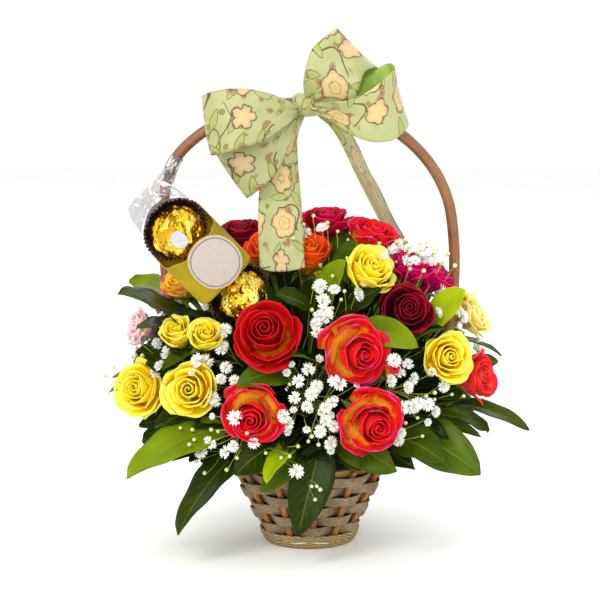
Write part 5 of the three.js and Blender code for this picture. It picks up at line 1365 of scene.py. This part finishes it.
def makeFilm():
    # clear cellophane, creased where it is gathered above the top sweet and tied to the cane, with white painted
    # highlights along the creases
    film, tree, shader = startMaterial("clear cellophane", "#8C8888", {
        "Roughness": 0.15, "Alpha": 0.24, "IOR": 1.49})
    uv = addNode(tree, "UVMap")
    pulled = addNode(tree, "Mapping", {"Scale": (9, 2.2, 1)}, {"Vector": uv})
    creases = addNode(tree, "TexNoise", {"Scale": 1.0, "Detail": 1.0, "Distortion": 0.8}, {"Vector": pulled})
    glints = addNode(tree, "ValToRGB", {"stops": [(0.56, "#948E8C"), (0.66, "#FFFFFF")]}, {"Fac": creases})
    linkTo(tree, glints, shader.inputs["Base Color"])
    # the film is made more opaque where the highlights are painted, so that they show
    thick = addNode(tree, "MapRange", {"From Min": 0.5, "From Max": 0.7, "To Min": 0.3, "To Max": 0.62},
                    {"Value": creases})
    linkTo(tree, thick, shader.inputs["Alpha"])
    bumpFrom(tree, shader, creases, 0.0008, 0.4)
    flap = addGrid("flap", 28, 28)

    def flapPoint(co):
        # the lower edge follows the cup, and the outer corners are soft
        u, v = (co.x + 1) / 2, (co.y + 1) / 2
        left, right = [start + run * v for start, run in (filmShape["left"], filmShape["right"])]
        side = left * (1 - u) + right * u
        low = math.sqrt(max(9, filmShape["cup"] ** 2 - side ** 2))
        along = low + (filmShape["top"] - 1.5 * u - low) * v
        pull = filmShape["softCorner"] * co.x ** 4 * v ** 4
        side, along = side * (1 - pull) + 2 * pull, along * (1 - pull) + 19 * pull
        broad, fine = filmShape["crumple"]
        crumple = broad * noise.noise(Vector((co.x * 2.2, co.y * 1.4, 7)))
        crumple += fine * noise.noise(Vector((co.x * 6, co.y * 3, 2)))
        return inPack(topSweet, side, along, filmShape["behind"] + crumple) * mm
    reshape(flap, flapPoint)
    rows = [[inPack(topSweet, side, 29, filmShape["behind"]) for side in (7, 15)],
            (Vector((-88, -45, 234)), Vector((-83, -45, 239))),
            (Vector((-89, -8, 229)), Vector((-82, -8, 239))),
            (Vector((-88.5, -4, 227)), Vector((-81, -4, 240)))]
    tie = addGrid("tie", 8, 30)

    def tiePoint(co):
        t = (co.y + 1) / 2
        a, b = [smoothCurve([row[side] for row in rows], t) for side in (0, 1)]
        return (a.lerp(b, (co.x + 1) / 2) + Vector((0, 0, 0.6 * math.sin(co.x * 9)))) * mm
    reshape(tie, tiePoint)
    centres = [Vector(point) for point in filmShape["twist"]]

    def wrapPoint(s, c):
        turn = 2 * math.pi * c
        place = smoothCurve(centres, s)
        out = Vector((0.92, 0, -0.38)) * math.cos(turn) + Vector((0, 1, 0)) * math.sin(turn)
        reach = handleShape["radius"] + 0.55 + 0.3 * math.sin(9 * turn + 14 * s) + 0.5 * noise.noise(
            Vector((math.cos(turn), math.sin(turn), s * 5)))
        return (place + out * reach) * mm, (c * 1.5, s)
    twist = ringLoft("twist", 16, 40, wrapPoint)
    wrap = joinPieces("cellophane_wrap", [flap, tie, twist])
    dress(wrap, [film])
    applyModifier(wrap, "SOLIDIFY", thickness=filmShape["thickness"], offset=0)
    finishPiece(wrap, ["sweets_film"])


makeFilm()
print("pack finished")

# materials for the CAD solids that stay in view
for node, material in {
    "rim_hoop": hoopWood, "sweets_pick": hoopWood,
    "liner": mottledMaterial("dark moulded liner", "#10160C", "#1A2414", 0.5),
    "foam": mottledMaterial("wet floral foam", "#16331C", "#22492A", 0.95),
}.items():
    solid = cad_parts[node]
    solid.data.materials.clear()
    solid.data.materials.append(material)

# baby's breath
breathShape = {"bud": 1.15, "twig": 0.2, "branch": 0.36, "clear": 3.0, "bunch": 13, "paired": 0.65, "spread": 8.5,
               "openSize": (1.06, 1.38), "size": (0.96, 1.2), "jointReach": 0.03, "listedAt": -80,
               "domeShare": 0.93}
# Florets, half-open florets and buds of the front are listed by x and z in mm, where the
# camera's line to them passes 80 mm in front of the handle. The others are listed by
# angle round the dome and height.
breathSprays = [
    {"name": "breath_front", "hub": (-11, -19), "bunches": [],
     "open": [(14, 169), (28, 166), (6, 171), (8, 157), (10, 153), (4, 150), (4, 144), (-1, 122), (-7, 115),
              (4, 112), (14, 115), (-9, 105), (-2, 100), (-15, 94), (-13, 90), (9, 99), (13, 102), (9, 91),
              (14, 88), (6, 85), (12, 78), (-33, 78), (-8, 61), (1, 107)],
     "half": [(-10, 124), (-14, 120), (-2, 87), (26, 112)],
     "buds": [(-12, 113), (-17, 69), (-12, 70), (-7, 76), (-26, 72), (-1, 79), (1, 82), (5, 77), (-37, 84),
              (1, 52), (4, 52), (6, 50), (3, 44), (13, 158), (1, 157), (2, 170), (18, 163), (20, 168)]},
    {"name": "breath_left", "hub": (-20, 8), "bunches": [(-100, 118), (-112, 140), (-125, 96), (-140, 150)],
     "open": [(-44, 93), (-45, 76), (-50, 145), (-51, 136), (-49, 123), (-52, 116), (-44, 115), (-89, 137),
              (-84, 131), (-88, 124), (-66, 127), (-57, 105), (-64, 73)],
     "half": [(-68, 120), (-56, 94), (-60, 159)],
     "buds": [(-43, 69), (-49, 62), (-76, 87), (-69, 86), (-58, 86), (-54, 85), (-71, 77), (-68, 80),
              (-57, 76), (-67, 67), (-62, 60), (-64, 101), (-71, 104), (-71, 115), (-115, 123), (-120, 118),
              (-98, 130), (-103, 140), (-97, 143)]},
    {"name": "breath_right", "hub": (13, -17), "bunches": [(70, 150), (96, 122), (112, 140), (118, 92)],
     "open": [(57, 125), (52, 120), (49, 127), (47, 115), (57, 111), (54, 99), (61, 100), (53, 84), (69, 101),
              (78, 112)],
     "half": [(68, 91), (71, 120), (86, 148)],
     "buds": [(61, 116), (51, 130), (56, 90), (63, 93), (73, 108), (68, 106), (73, 104), (83, 107), (90, 106),
              (66, 82), (56, 90)]},
    {"name": "breath_back", "hub": (14, 14),
     "bunches": [(140, 150), (152, 110), (172, 160), (180, 112), (-166, 150), (-158, 112), (130, 172),
                 (-120, 172)],
     "open": [(7, 205), (47, 190), (61, 186), (71, 185), (57, 193), (-3, 202), (47, 191), (56, 185), (66, 187),
              (71, 189)], "half": [(52, 193), (68, 194)],
     "buds": [(13, 177), (-4, 207), (2, 212), (10, 208), (16, 203), (22, 198), (40, 196), (44, 191), (50, 197),
              (54, 187), (58, 181), (64, 192), (66, 180), (72, 191), (76, 184), (80, 190), (84, 183), (-10, 199),
              (52, 195), (55, 198), (59, 194), (64, 196), (68, 196), (73, 192), (77, 185), (66, 190), (50, 185),
              (57, 190), (62, 190)]},
]


def petalRing(count, reach, wide, rise, blank, rng):
    petals = []
    for k in range(count):
        turn = (k + rng.uniform(-0.15, 0.15)) * 2 * math.pi / count
        petal = copyOf(blank, "floretPetal")
        notch = rng.uniform(0.12, 0.25)
        for vertex in petal.data.vertices:
            u, v = vertex.co.x, (vertex.co.y + 1) / 2
            out = reach * (0.12 + 0.88 * v - notch * (1 - abs(u)) * (v > 0.9))
            side = u * wide * (0.25 + 0.75 * math.sin(min(1, v * 1.15) * math.pi / 2)) * (1 - 0.25 * (v > 0.9))
            up = rise * v ** 1.4 + 0.3 * u * u - 0.25 * v * v * reach * 0.3
            vertex.co = Vector((out * math.cos(turn) - side * math.sin(turn),
                                out * math.sin(turn) + side * math.cos(turn), up)) * mm
        petals.append(petal)
    return petals


def calyxFor(size):
    deselectAll()
    bpy.ops.mesh.primitive_cone_add(vertices=6, radius1=0.2 * mm, radius2=size * mm, depth=1.7 * size * mm,
                                    end_fill_type="NGON")
    cup = bpy.context.object
    bpy.ops.object.mode_set(mode="EDIT")
    bpy.ops.transform.translate(value=(0, 0, -0.75 * size * mm))
    bpy.ops.object.mode_set(mode="OBJECT")
    return cup


def floretModel(name, rings, eye, rng):
    blank = addGrid("floretBlank", 2, 3)
    petals = []
    for ring in rings:
        petals += petalRing(*ring, blank, rng)
    bpy.data.objects.remove(blank)
    crown = joinPieces(name, petals)
    dress(crown, [floretWhite, floretEye, twigGreen])
    applyModifier(crown, "SOLIDIFY", thickness=0.00016, offset=0)
    deselectAll()
    bpy.ops.mesh.primitive_ico_sphere_add(subdivisions=1, radius=eye * mm)
    centre = bpy.context.object
    reshape(centre, lambda co: Vector((co.x, co.y, co.z * 0.8 + 0.0004)))
    dress(centre, [floretEye])
    cup = calyxFor(eye + 0.25)
    dress(cup, [twigGreen])
    return joinPieces(name, [crown, centre, cup])


def budModel():
    deselectAll()
    bpy.ops.mesh.primitive_ico_sphere_add(subdivisions=2, radius=breathShape["bud"] * mm)
    ball = bpy.context.object
    reshape(ball, lambda co: Vector((co.x, co.y, co.z * 1.12)) * (1 + 0.07 * math.sin(5 * math.atan2(co.y, co.x))))
    dress(ball, [budCream, twigGreen])
    cup = calyxFor(0.85)
    dress(cup, [twigGreen])
    return joinPieces("closedBud", [ball, cup])


def surfaceTrees():
    pieces = bpy.context.evaluated_depsgraph_get()
    return [BVHTree.FromObject(piece, pieces) for piece in builtPieces]


def sightPlace(trees, x, z):
    # the nearest built surface along the camera's line, and not deeper than the dome
    through = Vector((x, breathShape["listedAt"], z)) * mm
    ray = (through - cameraPlace).normalized()
    nearest = 9.0
    for tree in trees:
        _, _, _, distance = tree.ray_cast(cameraPlace, ray)
        if distance is not None:
            nearest = min(nearest, distance)
    start = cameraPlace / mm - domeCentre
    share = breathShape["domeShare"]
    scaled = Vector([a / (b * share) for a, b in zip(start, domeReach)])
    step = Vector([a / (b * share) / mm for a, b in zip(ray, domeReach)])
    a, b, c = step.dot(step), 2 * scaled.dot(step), scaled.dot(scaled) - 1
    root = b * b - 4 * a * c
    dome = (-b - math.sqrt(root)) / (2 * a) if root > 0 else (through - cameraPlace).length + 0.06
    return cameraPlace + ray * (min(nearest - breathShape["clear"] * mm, dome))


def facingMatrix(place, axis, size, turn):
    spin = axis.to_track_quat("Z", "Y").to_matrix() @ Matrix.Rotation(turn, 3, "Z")
    return Matrix.Translation(place) @ spin.to_4x4() @ Matrix.Scale(size, 4)


def placeBloom(model, place, axis, size, rng):
    copied = copyOf(model, "breath")
    copied.data.transform(facingMatrix(place, axis, size, rng.uniform(0, 6.28)))
    return copied


def makeBreath():
    rng = random.Random(5)
    models = {
        "open": [floretModel("openFloret", [(8, 3.6, 0.95, 0.3), (6, 2.7, 0.9, 1.3), (4, 1.6, 0.7, 2.0)], 0.5, rng),
                 floretModel("fullFloret", [(7, 3.4, 1.0, 0.8), (6, 2.5, 0.9, 1.9), (4, 1.4, 0.7, 2.4)], 0.4, rng),
                 floretModel("looseFloret", [(6, 3.7, 1.1, 0.6), (5, 2.4, 0.9, 1.7)], 0.7, rng)],
        "half": [floretModel("halfFloret", [(6, 2.1, 1.2, 2.4), (4, 1.3, 0.9, 2.6)], 0.5, rng)],
        "buds": [budModel()]}
    trees = surfaceTrees()
    for spray in breathSprays:
        hub = Vector((*spray["hub"], hubHeight + 2)) * mm
        heads = []
        for kind in ("open", "half", "buds"):
            for x, z in spray[kind]:
                place = sightPlace(trees, x, z)
                axis = (place - domeCentre * mm).normalized() + Vector((0, -0.9, 0.25))
                heads.append((kind, place, axis))
                if kind == "open" and rng.random() < breathShape["paired"]:
                    # a second floret a little behind and aside fills the clump
                    aside = Vector((rng.uniform(-6, 6), 0, rng.uniform(-6, 6)))
                    heads.append((rng.choice(("open", "half")), sightPlace(trees, x + aside.x, z + aside.z) + (
                        place - cameraPlace).normalized() * 0.002, axis))
        for degrees, z in spray["bunches"]:
            angle = math.radians(degrees)
            shrink = math.sqrt(1 - ((z - domeCentre.z) / domeReach.z) ** 2)
            middle = Vector((domeReach.x * shrink * math.sin(angle), -domeReach.y * shrink * math.cos(angle), z))
            out = (middle - domeCentre).normalized()
            for k in range(breathShape["bunch"]):
                kind = "open" if k < 6 else "half" if k < 8 else "buds"
                spread = Vector([rng.gauss(0, 1) for _ in range(3)])
                spread = (spread - out * spread.dot(out)) * breathShape["spread"]
                place = (middle + spread - out * spread.length_squared / 180 + out * rng.uniform(-2, 2)) * mm
                heads.append((kind, place, out))
        placed, joints = [], []
        paths = [[(hub - Vector((0, 0, 0.034)), 1.2 * mm), (hub, 1.2 * mm)]]
        for kind, place, axis in heads:
            lean = Vector([rng.uniform(-0.45, 0.45) for _ in range(3)])
            axis = (axis.normalized() + lean).normalized()
            size = rng.uniform(*breathShape["openSize" if kind == "open" else "size"])
            placed.append(placeBloom(rng.choice(models[kind]), place, axis, size, rng))
            foot = place - axis * 1.4 * mm * size
            joint = next((j for j in joints if (j - place).length < breathShape["jointReach"]), None)
            if joint is None:
                joint = place.lerp(hub, 0.26) - Vector((0, 0, 0.006))
                joints.append(joint)
                middle = hub.lerp(joint, 0.6) + Vector([rng.uniform(-7, 7) * mm for _ in range(3)])
                paths.append([(hub, 0.6 * mm), (middle, 0.5 * mm), (joint, breathShape["branch"] * mm)])
            bend = joint.lerp(foot, 0.55) + Vector([rng.uniform(-2.6, 2.6) * mm for _ in range(3)])
            paths.append([(point, breathShape["twig"] * mm) for point in (joint, bend, foot)])
        white = joinPieces(spray["name"] + "_florets", placed)
        white.data.polygons.foreach_set("use_smooth", [True] * len(white.data.polygons))
        finishPiece(white, [spray["name"]])
        stems = stemsFrom(spray["name"] + "_twigs", paths)
        dress(stems, [twigGreen])
        finishPiece(stems, [])
    for group in models.values():
        for model in group:
            bpy.data.objects.remove(model)
    print("baby's breath:", len(breathSprays), "sprays")


makeBreath()
